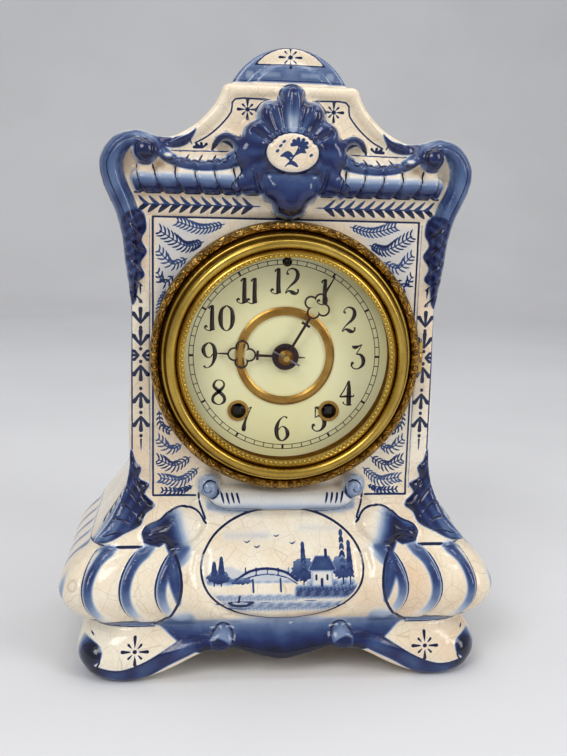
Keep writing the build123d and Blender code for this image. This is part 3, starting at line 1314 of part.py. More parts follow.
def gong_stand():
    """Iron boss on the case's back wall that grips the coil's inner end."""
    y = BACK_PLATE_END_Y + GONG_SETBACK
    boss = rod(GONG_BOSS_RADIUS, y - 2.6, INSIDE_BACK_WALL_Y, 0.0, GONG_Z)
    boss += rod(GONG_BOSS_RADIUS + 3.0, INSIDE_BACK_WALL_Y - 2.0, INSIDE_BACK_WALL_Y, 0.0, GONG_Z)
    return boss - rod(GONG_SCREW_RADIUS, y + 2.0, INSIDE_BACK_WALL_Y + 1.0, 0.0, GONG_Z)


def gong_screw():
    """Screw from the boss through the back wall, with its nut in a pocket."""
    y = BACK_PLATE_END_Y + GONG_SETBACK
    pocket = BACK_Y - GONG_POCKET_DEPTH
    nut = plate(RegularPolygon(GONG_NUT_RADIUS, 6), pocket, pocket + 2.2, 0.0, GONG_Z)
    return rod(GONG_SCREW_RADIUS, y + 2.0, pocket + 2.8, 0.0, GONG_Z) + nut


def rear_axis(shape, z_low):
    return Pos(REAR_HINGE_X, REAR_HINGE_Y, DIAL_Z + z_low) * shape


def rear_knuckle(z_low):
    """One knuckle of the rear door's hinge."""
    shape = Cylinder(REAR_KNUCKLE_RADIUS, REAR_KNUCKLE_LENGTH, align=(Align.CENTER, Align.CENTER, Align.MIN))
    return rear_axis(shape, z_low)


def rear_bore():
    return rear_axis(Cylinder(REAR_PIN_RADIUS + HINGE_CLEARANCE, 60), 0.0)


def rear_frame():
    """Flat ring against the case's back opening, with the outer knuckles of the door's hinge."""
    face_y = REAR_FRAME_Y + REAR_FRAME_SHEET
    ring = tube(REAR_FRAME_RADIUS, REAR_FRAME_BORE, REAR_FRAME_Y, face_y)
    for angle in CASE_BOLT_ANGLES:
        x, z = polar(CASE_BOLT_CIRCLE, angle)
        ring -= rod(CASE_BOLT_RADIUS, REAR_FRAME_Y - 1, BACK_Y + 1, x, z)
    latch_x, latch_z = polar(LATCH_CIRCLE, LATCH_ANGLE)
    ring += rod(1.2, face_y - 0.2, REAR_DOOR_Y + REAR_DOOR_SHEET + 0.2, latch_x, latch_z)
    half = REAR_KNUCKLE_LENGTH / 2 + KNUCKLE_GAP
    for z_low in (half, -half - REAR_KNUCKLE_LENGTH):
        foot_depth = REAR_HINGE_Y - face_y + 0.4
        foot = Box(2.6, foot_depth, REAR_KNUCKLE_LENGTH)
        foot_z = DIAL_Z + z_low + REAR_KNUCKLE_LENGTH / 2
        ring += Pos(REAR_HINGE_X + 1.3, face_y + foot_depth / 2 - 0.2, foot_z) * foot
        ring += rear_knuckle(z_low)
    return ring - rear_bore()


def rear_door():
    """Brass disc with vents and a knob that closes the back."""
    back = REAR_DOOR_Y + REAR_DOOR_SHEET
    door = rod(REAR_DOOR_RADIUS, REAR_DOOR_Y, back)
    for vent in range(REAR_VENTS):
        x, z = polar(REAR_VENT_CIRCLE, 360 * (vent + 0.5) / REAR_VENTS)
        door -= rod(REAR_VENT_RADIUS, REAR_DOOR_Y - 1, back + 1, x, z)
    arm_length = REAR_HINGE_X - REAR_DOOR_RADIUS + 2.0
    arm = Box(arm_length, REAR_DOOR_SHEET, REAR_KNUCKLE_LENGTH)
    door += Pos(REAR_HINGE_X - arm_length / 2, REAR_DOOR_Y + REAR_DOOR_SHEET / 2, DIAL_Z) * arm
    door += rear_knuckle(-REAR_KNUCKLE_LENGTH / 2)
    door += rod(1.4, back, BACK_Y - 1.2, REAR_KNOB_X)
    door += rod(REAR_KNOB_RADIUS, BACK_Y - 1.4, BACK_Y - 0.1, REAR_KNOB_X)
    return door - rear_bore()


def rear_hinge_pin():
    """Pin of the rear door's hinge with a head at each end."""
    length = 3 * REAR_KNUCKLE_LENGTH + 2 * KNUCKLE_GAP
    pin = rear_axis(Cylinder(REAR_PIN_RADIUS, length + 1.0), 0.0)
    for side in (-1, 1):
        pin += rear_axis(Cylinder(REAR_PIN_RADIUS + 0.4, 0.8), side * (length / 2 + 0.5))
    return pin


def rear_latch():
    """Turn button on the frame, shown turned clear of the rear door."""
    front = REAR_DOOR_Y + REAR_DOOR_SHEET + 0.2
    blade = Pos((3.0 - LATCH_REACH) / 2, 0) * Rectangle(LATCH_REACH + 3.0, LATCH_WIDTH)
    x, z = polar(LATCH_CIRCLE, LATCH_ANGLE)
    face = Rot(0, 0, LATCH_ANGLE + 90) * blade
    return plate(face, front, front + LATCH_THICKNESS, x, z) + rod(1.6, front, front + 1.8, x, z)


def case_bolts():
    """Long bolts from the pan's floor to the rear frame."""
    group = []
    for angle in CASE_BOLT_ANGLES:
        x, z = polar(CASE_BOLT_CIRCLE, angle)
        back = REAR_FRAME_Y + REAR_FRAME_SHEET
        bolt = rod(CASE_BOLT_RADIUS, PAN_FLOOR_Y - PAN_SHEET - 1.0, back, x, z)
        bolt += rod(CASE_BOLT_HEAD_RADIUS, back, BACK_Y - 0.5, x, z)
        group.append(bolt)
    return group


def save(name, shape):
    """Writes one node; a list of solids is one node of separate solids."""
    if isinstance(shape, (list, tuple)):
        solids = []
        for piece in shape:
            solids.extend(piece.solids())
        shape = Compound(children=solids)
    export_step(shape, "parts/" + name + ".step")


save("ceramic_case", ceramic_case())
save("rear_frame", rear_frame())
save("rear_door", rear_door())
save("rear_hinge_pin", rear_hinge_pin())
save("rear_latch", rear_latch())
save("case_bolts", case_bolts())
save("dial_pan", dial_pan())
save("pan_screws", pan_screws())
save("dial_sheet", dial_disc(DIAL_RADIUS, HOUR_PIPE_RADIUS + 1.0, DIAL_SHEET_Y, DIAL_BACK_Y))
save("dial_ring", dial_disc(DIAL_RADIUS, DIAL_CENTRE_RADIUS, DIAL_FACE_Y, DIAL_SHEET_Y))
save("dial_centre", tube(DIAL_CENTRE_RADIUS, HOUR_PIPE_RADIUS + 1.0, DIAL_FACE_Y + DIAL_STEP, DIAL_SHEET_Y))
save("dial_centre_ring", dial_centre_ring())
save("winding_grommets", winding_grommets())
save("bezel_ring", bezel_ring())
save("bezel_rope_rim", bezel_rope_rim())
save("bezel_hinge_leaf", hinge_leaf())
save("bezel_hinge_pin", hinge_pin())
save("bezel_catch", bezel_catch())
save("glass", glass_pane())
save("glass_retainer", glass_retainer())
save("front_plate", front_plate())
save("back_plate", back_plate())
save("pillars", pillars())
save("pillar_nuts", pillar_nuts())
for train, side in (("time", 1), ("strike", -1)):
    save(train + "_great_wheel", great_wheel(side))
    save(train + "_click", great_click(side))
    save(train + "_winding_arbor", winding_arbor(side))
    save(train + "_mainspring", mainspring(side))
    save(train + "_second_wheel", second_arbor(side))
save("time_third_wheel", third_arbor(1, THIRD_Y))
save("strike_pin_wheel", pin_wheel())
save("escape_wheel", escape_arbor())
save("warning_wheel", warning_arbor())
save("fly", fly_arbor())
save("verge", verge())
save("suspension_post", suspension_post())
save("suspension_spring", suspension_spring())
save("pendulum_rod", pendulum_rod())
save("pendulum_bob", pendulum_bob())
save("rating_nut", rating_nut())
save("centre_arbor", centre_arbor())
save("minute_wheel", minute_wheel())
save("minute_stud", minute_stud())
save("hour_wheel", hour_wheel())
save("hour_hand", hour_hand())
save("minute_hand", minute_hand())
save("hand_washer", hand_washer())
save("taper_pin", taper_pin_shape())
save("regulator_arbor", regulator_arbor())
save("hammer", hammer())
save("gong", gong())
save("gong_stand", gong_stand())
save("gong_screw", gong_screw())
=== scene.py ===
from math import atan2, ceil, cos, exp, hypot, pi, radians, sin, sqrt

import bmesh
import bpy
import numpy as np
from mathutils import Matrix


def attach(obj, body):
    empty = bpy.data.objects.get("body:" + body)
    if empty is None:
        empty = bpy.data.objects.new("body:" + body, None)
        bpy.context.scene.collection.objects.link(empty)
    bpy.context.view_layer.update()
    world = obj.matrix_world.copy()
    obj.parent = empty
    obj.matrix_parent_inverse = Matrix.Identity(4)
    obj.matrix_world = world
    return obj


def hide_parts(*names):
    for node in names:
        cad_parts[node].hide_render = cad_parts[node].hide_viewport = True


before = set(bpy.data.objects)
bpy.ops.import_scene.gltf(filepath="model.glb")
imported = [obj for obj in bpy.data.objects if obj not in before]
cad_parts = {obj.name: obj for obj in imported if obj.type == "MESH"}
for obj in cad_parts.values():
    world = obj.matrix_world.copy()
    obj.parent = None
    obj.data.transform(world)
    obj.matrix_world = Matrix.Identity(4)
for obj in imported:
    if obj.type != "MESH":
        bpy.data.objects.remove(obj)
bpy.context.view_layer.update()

import openvdb as vdb
from mathutils import Matrix, Vector

# The case is modelled in millimetres, x to the right, y away from the viewer, z above the feet.
MM = 0.001
DIAL_Z = 162.0
PANEL_Y = -26.0
FRONT_Y = -55.0
CASE_HALF_WIDTH = 113.5
CASE_HEIGHT = 311.0
PICTURE_Z = 57.0
DOME_Z = 291.0
LEDGE_Z = 66.5
SEAT_Y = -27.5
HINGE_X = 68.8
HINGE_Y = -27.9
KNUCKLE_HALF = 2.5
RIM_MIDDLE = 64.8
RIM_GROUPS = 8
BEAD_CIRCLE = 50.9
NUMERAL_CIRCLE = 37.4
NUMERAL_HEIGHT = 12.6
TRACK_INNER = 45.7
TRACK_OUTER = 47.9
BACK_Y = 55.0
DIAL_FACE_Y = -28.9
VOXEL = 1.15
STEP = 0.4
FAR = 9.0
BEADS = 132


class Canvas:
    """Drawing board over a part of the case: relief heights and the painter's washes and lines."""

    def __init__(self, x_low, x_high, z_low, z_high):
        self.low = (x_low, z_low)
        self.x = np.arange(x_low, x_high + STEP, STEP)
        self.z = np.arange(z_low, z_high + STEP, STEP)
        self.gx, self.gz = np.meshgrid(self.x, self.z, indexing="ij")
        shape = self.gx.shape
        self.tall = np.full(shape, -3.0)
        self.offset = np.zeros(shape)
        self.fine = np.zeros(shape)
        self.wash = np.zeros(shape)
        self.line = np.zeros(shape)
        self.dark = np.full(shape, 0.85)
        self.sides = (1, -1)

    def window(self, low, high):
        """Slices of the cells between two corners."""
        i0 = max(0, int((low[0] - self.low[0]) / STEP))
        i1 = min(len(self.x), int((high[0] - self.low[0]) / STEP) + 2)
        j0 = max(0, int((low[1] - self.low[1]) / STEP))
        j1 = min(len(self.z), int((high[1] - self.low[1]) / STEP) + 2)
        return slice(i0, max(i0, i1)), slice(j0, max(j0, j1))

    def near(self, line, reach):
        """Window about a line, with each cell's distance to it and its place along it."""
        win = self.window(line.min(0) - reach, line.max(0) + reach)
        xs = self.gx[win]
        zs = self.gz[win]
        best = np.full(xs.shape, 1e9)
        along = np.zeros(xs.shape)
        spans = np.hypot(*(line[1:] - line[:-1]).T)
        total = max(spans.sum(), 1e-6)
        run = 0.0
        for start, end, span in zip(line[:-1], line[1:], spans):
            if span < 1e-6:
                continue
            step = (end - start) / span
            t = np.clip((xs - start[0]) * step[0] + (zs - start[1]) * step[1], 0, span)
            gap = np.hypot(xs - start[0] - t * step[0], zs - start[1] - t * step[1])
            closer = gap < best
            best = np.where(closer, gap, best)
            along = np.where(closer, (run + t) / total, along)
            run += span
        return win, best, along

    def inside(self, line, reach):
        """Window about a closed outline and the distance inside it, negative outside."""
        closed = np.vstack([line, line[:1]])
        win, gap, along = self.near(closed, reach)
        xs = self.gx[win]
        zs = self.gz[win]
        within = np.zeros(xs.shape, bool)
        for (ax, az), (bx, bz) in zip(closed[:-1], closed[1:]):
            if az == bz:
                continue
            crosses = ((az > zs) != (bz > zs)) & (xs < (bx - ax) * (zs - az) / (bz - az) + ax)
            within ^= crosses
        return win, np.where(within, gap, -gap)

    def each_side(self, points):
        """The points as drawn and mirrored, or only as drawn."""
        for side in self.sides:
            yield np.array([(side * x, z) for x, z in points], float)

    def stroke(self, points, width, ink=0.9, taper="line", soft=0.9, count=12):
        """Brush line: its edge is kept as a soft ramp that the glaze material makes crisp."""
        for line in self.each_side(points):
            win, gap, along = self.near(smooth(line, count), width / 2 + 1.4)
            if taper == "leaf":
                share = np.sin(np.pi * np.clip(0.06 + 0.88 * along, 0, 1)) ** 0.7
            elif taper == "tail":
                share = (1 - 0.85 * along) ** 0.8
            else:
                share = 1.0
            edge = width / 2 * share - gap
            cover = np.clip(edge / soft + 0.5, 0, 1)
            stronger = cover > self.line[win]
            self.dark[win] = np.where(stronger | (edge > -1.2) & (self.line[win] < 0.3), ink, self.dark[win])
            self.line[win] = np.maximum(self.line[win], cover)

    def clear(self, points, soft=0.8, curved=True):
        """Wipes the paint off a closed area."""
        for line in self.each_side(points):
            win, depth = self.inside(smooth(line, 40, True) if curved else line, 1.5)
            keep = 1 - np.clip(depth / soft + 0.5, 0, 1)
            self.wash[win] *= keep
            self.line[win] *= keep

    def fill(self, points, ink, edge=None, rim=2.0, soft=0.8, curved=True, shade=None):
        """Wash inside a closed outline; edge is the ink near its rim, shade a function of x and z."""
        for side, line in zip(self.sides, self.each_side(points)):
            win, depth = self.inside(smooth(line, 40, True) if curved else line, 1.5)
            cover = np.clip(depth / soft + 0.5, 0, 1)
            level = np.full(depth.shape, float(ink))
            if shade is not None:
                level = shade(side * self.gx[win], self.gz[win])
            if edge is not None:
                level = level + (edge - level) * np.exp(-np.clip(depth, 0, None) / rim)
            self.wash[win] = self.wash[win] * (1 - cover) + level * cover
            self.line[win] *= 1 - cover

    def swell(self, points, rise, rounding, curved=True, base=0.0):
        """Raised form with a rounded edge inside a closed outline."""
        for line in self.each_side(points):
            win, depth = self.inside(smooth(line, 40, True) if curved else line, 1.0)
            lift = np.sqrt(1 - (1 - np.clip(depth / rounding, 0, 1)) ** 2) * rise + base
            self.tall[win] = np.where(depth > 0, np.maximum(self.tall[win], lift), self.tall[win])

    def roll(self, points, width, rise, base=0.0):
        """Raised half-round along a line."""
        half = width / 2
        for line in self.each_side(points):
            win, gap, along = self.near(smooth(line), width)
            lift = rise * np.sqrt(np.clip(1 - (gap / half) ** 2, 0, 1)) + base
            self.tall[win] = np.where(gap < half, np.maximum(self.tall[win], lift), self.tall[win])

    def press(self, points, width, depth, taper=False, count=16):
        """Fine ridge, or a groove where depth is negative, along a line."""
        for line in self.each_side(points):
            win, gap, along = self.near(smooth(line, count), 1.6 * width)
            fade = np.sin(np.pi * np.clip(0.05 + 0.9 * along, 0, 1)) ** 0.6 if taper else 1.0
            change = depth * fade * np.exp(-((gap / (width / 2)) ** 2))
            if depth < 0:
                self.fine[win] = np.minimum(self.fine[win], change)
            else:
                self.fine[win] = np.maximum(self.fine[win], change)

    def sample(self, layer, x, z):
        """Layer read between its cells."""
        u = np.clip((x - self.low[0]) / STEP, 0, len(self.x) - 1.001)
        v = np.clip((z - self.low[1]) / STEP, 0, len(self.z) - 1.001)
        i = u.astype(int)
        j = v.astype(int)
        fu = u - i
        fv = v - j
        low = layer[i, j] * (1 - fu) + layer[i + 1, j] * fu
        high = layer[i, j + 1] * (1 - fu) + layer[i + 1, j + 1] * fu
        return low * (1 - fv) + high * fv


def smooth(points, count=24, closed=False):
    """Points along a smooth curve through the given points."""
    p = np.array(points, float)
    if len(p) == 2:
        return p
    if closed:
        ext = np.vstack([p[-1:], p, p[:2]])
        pieces = len(p)
    else:
        ext = np.vstack([2 * p[0] - p[1], p, 2 * p[-1] - p[-2]])
        pieces = len(p) - 1
    per = max(2, ceil(count / pieces))
    t = np.linspace(0, 1, per, endpoint=False)[:, None]
    out = []
    for k in range(pieces):
        a, b, c, d = ext[k : k + 4]
        bend = (2 * a - 5 * b + 4 * c - d) * t**2 + (3 * b - a - 3 * c + d) * t**3
        out.append(0.5 * (2 * b + (c - a) * t + bend))
    if not closed:
        out.append(p[-1:])
    return np.vstack(out)


def circle(x, z, radius, count=20, height=None):
    """Points of a circle, or of an ellipse where a height is given."""
    height = radius if height is None else height
    return [
        (x + radius * cos(2 * pi * k / count), z + height * sin(2 * pi * k / count))
        for k in range(count)
    ]


def curl(x, z, radius, start, sweep, shrink=0.8, count=14):
    """Points of a spiral that tightens towards its middle; angles in degrees."""
    points = []
    for k in range(count):
        t = k / (count - 1)
        angle = radians(start + sweep * t)
        reach = radius * (1 - shrink * t)
        points.append((x + reach * cos(angle), z + reach * sin(angle)))
    return points


def leaf_row(board, spine, count, length, width, ink, lean):
    """Leaflets set along both sides of a spine, between its two ends."""
    start, end = 0.06, 0.96
    line = smooth(spine, 40)
    for k in range(count):
        t = start + (end - start) * k / max(1, count - 1)
        at = t * (len(line) - 1)
        i = min(int(at), len(line) - 2)
        point = line[i] + (line[i + 1] - line[i]) * (at - i)
        heading = atan2(*(line[i + 1] - line[i])[::-1])
        size = length * (0.45 + 0.55 * sin(pi * min(1.0, 0.2 + 0.75 * (1 - t))))
        for way in (1, -1):
            out = heading + way * radians(lean)
            middle = point + size * 0.55 * np.array([cos(out), sin(out)])
            tip_way = out - way * 0.35
            tip = middle + size * 0.45 * np.array([cos(tip_way), sin(tip_way)])
            board.stroke([tuple(point), tuple(middle), tuple(tip)], width, ink, "leaf", count=4)


def rosette(board, x, z, radius, petals=8, width=1.7, ink=0.95):
    """Small flower of long and short petals in turn about a dot."""
    board.stroke([(x - 0.1, z), (x + 0.1, z)], 1.9, ink)
    for k in range(petals):
        angle = 2 * pi * (k + 0.5 * (petals % 4 == 2)) / petals
        reach = radius * (1.0 if k % 2 == 0 else 0.72)
        a = (x + 0.28 * radius * cos(angle), z + 0.28 * radius * sin(angle))
        b = (x + reach * cos(angle), z + reach * sin(angle))
        board.stroke([b, a], width * (1.0 if k % 2 == 0 else 0.7), ink, "tail", count=3)


def fleur(board, x, z, size, way):
    """Three brush leaves that spread from one point."""
    for angle, share in ((-34, 0.8), (0, 1.0), (34, 0.8)):
        heading = radians(90 + angle) if way > 0 else radians(-90 + angle)
        tip = (x + size * share * cos(heading), z + size * share * sin(heading))
        board.stroke([tip, (x, z)], 2.1, 0.95, "tail", count=3)


front = Canvas(-117.0, 117.0, -2.0, 313.0)
stroke, fill, clear = front.stroke, front.fill, front.clear
swell, roll, press = front.swell, front.roll, front.press

# Body and crest ornament, raised
STRAP = [
    (60, 263), (66, 267.6), (73.7, 269.5), (84, 265.8), (90.6, 255), (88.5, 243), (83, 231), (79.3, 215),
    (77.5, 199), (73.5, 193), (71.5, 202), (72.5, 214), (71.2, 226), (74.5, 238), (78.5, 247), (79.5, 255),
    (75.8, 261.5), (70.5, 263.5), (66, 259), (61, 257.5),
]
swell(STRAP, 7.0, 4.5, base=1.0)
swell(circle(68.8, 259.6, 6.6), 6.5, 6.4, base=7.0)
swell([(-3, 253.2), (74, 253.2), (77, 247), (74, 240.2), (-3, 240.2)], 9.5, 6.4, curved=False, base=1.0)
swell([(18, 253), (62, 253), (64, 259.5), (20, 260.5)], 4.0, 2.5, curved=False)
POD = [(20, 259.5), (24, 262.6), (28.6, 260.5), (34, 257.4), (44, 256.2), (54, 258.2), (61, 262.5), (63, 258),
    (56, 253.5), (44, 251.3), (32, 252), (24, 254.4)]
swell(POD, 6.0, 4.0, base=4.0)
swell([(-71, 230.4), (71, 230.4), (72, 241), (-72, 241)], 1.8, 1.6, curved=False)
CREST = [(30, 289.5), (33.5, 282), (39, 275.5), (46, 269.6), (56, 264.5), (66, 264)]
roll(CREST, 6.5, 2.6, base=0.4)
roll([(-31, 289.2), (31, 289.2)], 6.0, 2.6, base=0.4)
LOBES = [
    (0, 279.5, 7.6, 13.6), (9.4, 275.2, 7.6, 10.0), (16.8, 267.5, 7.4, 8.6), (20.5, 259.5, 6.8, 7.6),
    (17.5, 252.4, 6.8, 6.6),
]
for x, z, half_width, half_height in LOBES:
    swell(circle(x, z, half_width, 20, half_height), 7.0, 5.5, base=5.0)
swell([(-8, 283), (0, 285), (14, 276), (20, 262), (20, 250), (10, 243), (-8, 242)], 9.0, 6.0, curved=False,
    base=3.0)
HOOK = [(19, 263), (24, 267.8), (30.5, 270.2), (36, 267.4), (37.6, 261.4), (35.5, 262.8), (32.4, 265.6),
    (28.4, 265.2), (25.5, 260.5), (21, 257.5)]
swell(HOOK, 7.0, 2.8, base=2.0)
WING = [(13, 253), (20, 254), (22.5, 248.5), (28.5, 244.5), (25.5, 239.5), (19, 241.5), (13, 244)]
swell(WING, 8.0, 3.0, base=3.0)
swell([(-7, 251), (13.4, 251), (14.6, 240), (9, 236.5), (7.2, 231.8), (0, 228.4), (-7, 231.8)], 10.0, 7.0,
    curved=False, base=5.5)
swell(circle(0, 260.4, 13.6, 28, 10.2), 3.4, 3.0, base=12.4)

# Leaves on the body's edges, the collar and its curls, the folded leaves
ACANTHUS_UP = [(71, 232), (79.5, 229), (80, 212), (78, 197), (76, 186.5), (73.4, 190), (73, 197), (69.6, 201),
    (71.4, 207), (68.4, 212.5), (71, 218), (68.6, 224)]
swell(ACANTHUS_UP, 3.2, 3.0)
ACANTHUS_DOWN = [(76.6, 113), (74.5, 107), (71.5, 103), (72.8, 98), (67.5, 94.5), (69.8, 90), (64.5, 84.5),
    (69, 81), (71.5, 76), (79, 72.5), (88, 68.5), (97.5, 67.5), (88, 79), (81.5, 91), (78.4, 103)]
swell(ACANTHUS_DOWN, 2.6, 3.0)
COLLAR = [(-8, 93.2), (33, 93.4), (37, 91), (37.5, 86.2), (30, 83.2), (-8, 82.4)]
swell(COLLAR, 7.5, 5.2, curved=False, base=2.0)
swell(circle(37.4, 95.4, 6.3), 8.0, 5.8, base=4.0)
FOLD = [(38.5, 76.5), (43.5, 82.4), (51, 84.2), (57.5, 81.6), (62, 78), (68.5, 75.4), (70.6, 71.6),
    (66.4, 68.8), (61, 70.4), (55, 67.6), (46, 68)]
swell(FOLD, 5.0, 4.4)
for x, z in ((66, 264.2), (58, 264.6)):
    press([(x, z), (x - 3, z + 3)], 1.2, -0.5)

# The base: the picture's rim is only painted, so its relief is taken down again
ring = np.hypot(front.gx / 42.0, (front.gz - PICTURE_Z) / 27.5)
front.offset = np.where((np.abs(ring - 1) < 0.075) & (front.gz < LEDGE_Z - 1.5), -1.9, front.offset)
KNOB = (97.0, 12.5)
for side in (1, -1):
    reach = np.hypot(front.gx - side * KNOB[0], front.gz - KNOB[1])
    front.offset += 2.4 * np.sqrt(np.clip(1 - (reach / 7.2) ** 2, 0, 1))
STRAP_LOW = [(95, 5.2), (86, 3.0), (76, 3.4), (66, 8.4), (56, 13.6), (44, 18.6), (33, 20.5)]
for line in front.each_side(STRAP_LOW):
    win, gap, along = front.near(smooth(line, 30), 7)
    front.offset[win] = np.maximum(front.offset[win], 1.6 * np.sqrt(np.clip(1 - (gap / 3.8) ** 2, 0, 1)))
CURL_LEAF = [(36, 23), (31, 28.6), (26.5, 27), (24.6, 21.4), (27.5, 16.4), (32.6, 15), (36, 18)]
for line in front.each_side(CURL_LEAF):
    win, depth = front.inside(smooth(line, 40, True), 1)
    lift = 2.0 * np.sqrt(1 - (1 - np.clip(depth / 3.0, 0, 1)) ** 2)
    front.offset[win] = np.maximum(front.offset[win], np.where(depth > 0, lift, 0))

# Fine carving
for k in range(7):
    x = 16.0 + 9.4 * k
    rope_cut = [(x + 1.6, 253.4), (x + 1.0, 249), (x - 0.4, 244), (x - 2.4, 240.4)]
    press(rope_cut, 1.7, -1.5, count=6)
    stroke(rope_cut, 0.8, 0.92)
for k in range(-4, 5):
    angle = radians(90 + 17 * k)
    a = (11 * cos(angle), 262 + 9 * sin(angle))
    b = (20 * cos(angle), 262 + 26 * sin(angle) * (1 - 0.035 * abs(k)))
    front.sides = (1,)
    press([a, b], 2.4, -1.1, count=3)
front.sides = (1, -1)
EAR_LINE = [(66, 264.6), (74, 266.2), (82.4, 262.2), (87, 254), (85, 244), (80, 233), (76.6, 220), (75, 208)]
press(EAR_LINE, 1.4, -0.9)
press(curl(68.8, 259.6, 6.8, -40, 330, 0.55), 1.3, -1.3)
press(curl(37.4, 95.4, 5.6, 200, -420, 0.8), 1.3, -1.2)
UPPER_VEINS = [[(78.5, z), (74.5, z - 2.5), (70.4, z - 7.5)] for z in (228, 219.6, 211.2, 202.8, 194.4)]
LOWER_VEINS = [
    [(77 + 3.6 * k, 104 - 8.2 * k), (74 + 2.4 * k, 97 - 6 * k),
        (70 + 2.0 * k, 90 - 4.5 * k)] for k in range(5)
]
for vein in UPPER_VEINS:
    press(vein, 1.5, -0.9, True)
for vein in LOWER_VEINS:
    press(vein, 1.5, -0.8, True)
for k in range(5):
    x = 26 + 6.6 * k
    press([(x, 259.4 - abs(k - 2) * -0.6), (x + 2.2, 255.6), (x + 5.4, 256.6)], 1.3, -0.9, True)
press([(65.6, 229), (65.6, 89), (40, 89)], 1.1, -0.5, count=2)
press([(-65, 229.2), (65, 229.2)], 1.1, -0.5)

# Painting: washes first, then lines
LINE_INK = 0.88
fill([(-28.5, 294), (-24, 301), (-17, 307), (-8, 311.5), (8, 311.5), (17, 307), (24, 301), (28.5, 294)], 0.42,
    curved=False)
front.sides = (1,)
clear([(-17, 302.4), (-13.5, 306.4), (-7, 309.8), (0, 310.8), (7, 309.8), (13.5, 306.4), (17, 302.4)],
    curved=False)
stroke([(-17, 302.4), (-12.5, 306.8), (-6, 309.9), (0, 310.6), (6, 309.9), (12.5, 306.8), (17, 302.4)], 0.7,
    LINE_INK)
stroke([(-17, 302.4), (17, 302.4)], 0.7, LINE_INK)
rosette(front, 0, 306.2, 5.2, 8, 1.3)
front.sides = (1, -1)
stroke([(0, 300.6), (24, 300.6)], 0.5, 0.7)
stroke([(0, 294.8), (28, 294.8)], 0.7, 0.8)
fill([(4, 295.6), (15, 295.6), (15.6, 299.6), (4, 299.6)], 0.34, 0.6, 0.6, curved=False)
fill([(17.4, 295.6), (22, 295.6), (21.6, 299.8), (17.4, 299.8)], 0.3, 0.62, 0.6)

# Crest panel line, flowers and dots
stroke([(12, 285.4), (26.6, 285.2), (28.6, 279), (33.8, 272.6), (40, 267.4), (45.5, 264.4)], 0.75, LINE_INK)
rosette(front, 20.8, 280.6, 4.4, 8, 1.5)
for k in range(4):
    angle = radians(10 + 36 * k)
    stroke([(42 + 4 * cos(angle), 262 + 2.2 * sin(angle)), (42, 262)], 1.4, 0.9, "tail")
stroke([(24, 260.8), (60, 260.4)], 0.6, 0.8)
fill([(45, 271), (50, 267.6), (60, 266.4), (66, 268.8), (63, 263.4), (56, 261.8), (49, 264)], 0.72, 0.95, 1.2)
for k in range(5):
    stroke([(49 + 3 * k, 267.6 - 0.3 * k), (47 + 3 * k, 263.6)], 0.8, 0.95, "leaf")

# Strap, rope, pods


def strap_shade(x, z):
    return 0.42 + 0.12 * np.sin(x * 0.21 + z * 0.12) ** 2 + 0.3 * np.clip((240 - z) / 40, 0, 1)


def fold_shade(x, z):
    """Dark middle that fades quickly inwards, slowly outwards, and away below."""
    across = (x - 59 - (z - 74) * 0.3) / np.where(x < 59, 7.5, 15.0)
    return np.clip(0.97 * np.exp(-(across**2)) * np.clip((z - 54) / 13, 0, 1), 0, 0.97)


def lower_leaf_shade(x, z):
    return np.clip(0.86 - (x - 74) * 0.026 + 0.1 * np.sin(z * 0.7 + x), 0.34, 0.95)


def foot_shade(x, z):
    return 0.7 + 0.26 * np.clip((x - 84) / 10, 0, 1) + 0.1 * np.sin(x * 0.35)


fill(STRAP, 0.46, 0.86, 1.5, shade=strap_shade)
fill(circle(68.8, 259.6, 6.4), 0.85, 0.95, 1.5)
stroke(EAR_LINE, 0.8, 0.9)
stroke(curl(68.8, 259.6, 6.6, -60, 360, 0.5), 0.9, 0.98)
fill([(14, 252.8), (74, 252.8), (76, 247), (73, 240.6), (14, 240.6)], 0.5, curved=False,
    shade=lambda x, z: np.clip(0.05 + (250.8 - z) * 0.095, 0.0, 0.78))
for k in range(7):
    x = 16.0 + 9.4 * k
    stroke([(x + 1.6, 253.0), (x + 1.0, 249), (x - 0.4, 244), (x - 2.4, 240.6)], 0.75, 0.95)
stroke([(14, 240.6), (74, 240.6)], 0.9, 0.95)
fill(POD, 0.58, 0.88, 1.0)
for k in range(5):
    x = 29 + 6.4 * k
    stroke([(x, 259.0), (x + 2.4, 255.6), (x + 5.2, 256.4)], 1.1, 0.95, "leaf")
    # Painted highlight: a pale spot on the upper part of each raised scallop.
    fill(circle(x + 3.6, 258.2, 1.9, 12, 1.0), 0.08)

# Shell cartouche
SHELL = [
    (-5, 290), (0, 293), (5, 290), (7.6, 284.6), (11.5, 285), (16.4, 281.4), (17.4, 275.4), (22.5, 272.6),
    (24.6, 267), (30.5, 270.2),
    (36, 267.4), (37.6, 261.4), (32.4, 265.4), (28, 263), (26, 257.5), (23.5, 251), (28.5, 244.5),
    (25.5, 239.5), (19, 241.5), (13, 244), (-5, 244),
]


def shell_shade(x, z):
    """Dark flutes that fan out, with a painted highlight up the middle."""
    # Painted highlight: the wash is made paler in a soft patch up the middle of the shell.
    painted_highlight = np.exp(-((x / 4.6) ** 2 + ((z - 274) / 6.0) ** 2))
    flutes = np.sin(np.arctan2(z - 262, np.abs(x) + 0.01) * 16)
    return np.clip(0.76 - 0.5 * painted_highlight + 0.1 * flutes, 0.1, 0.97)


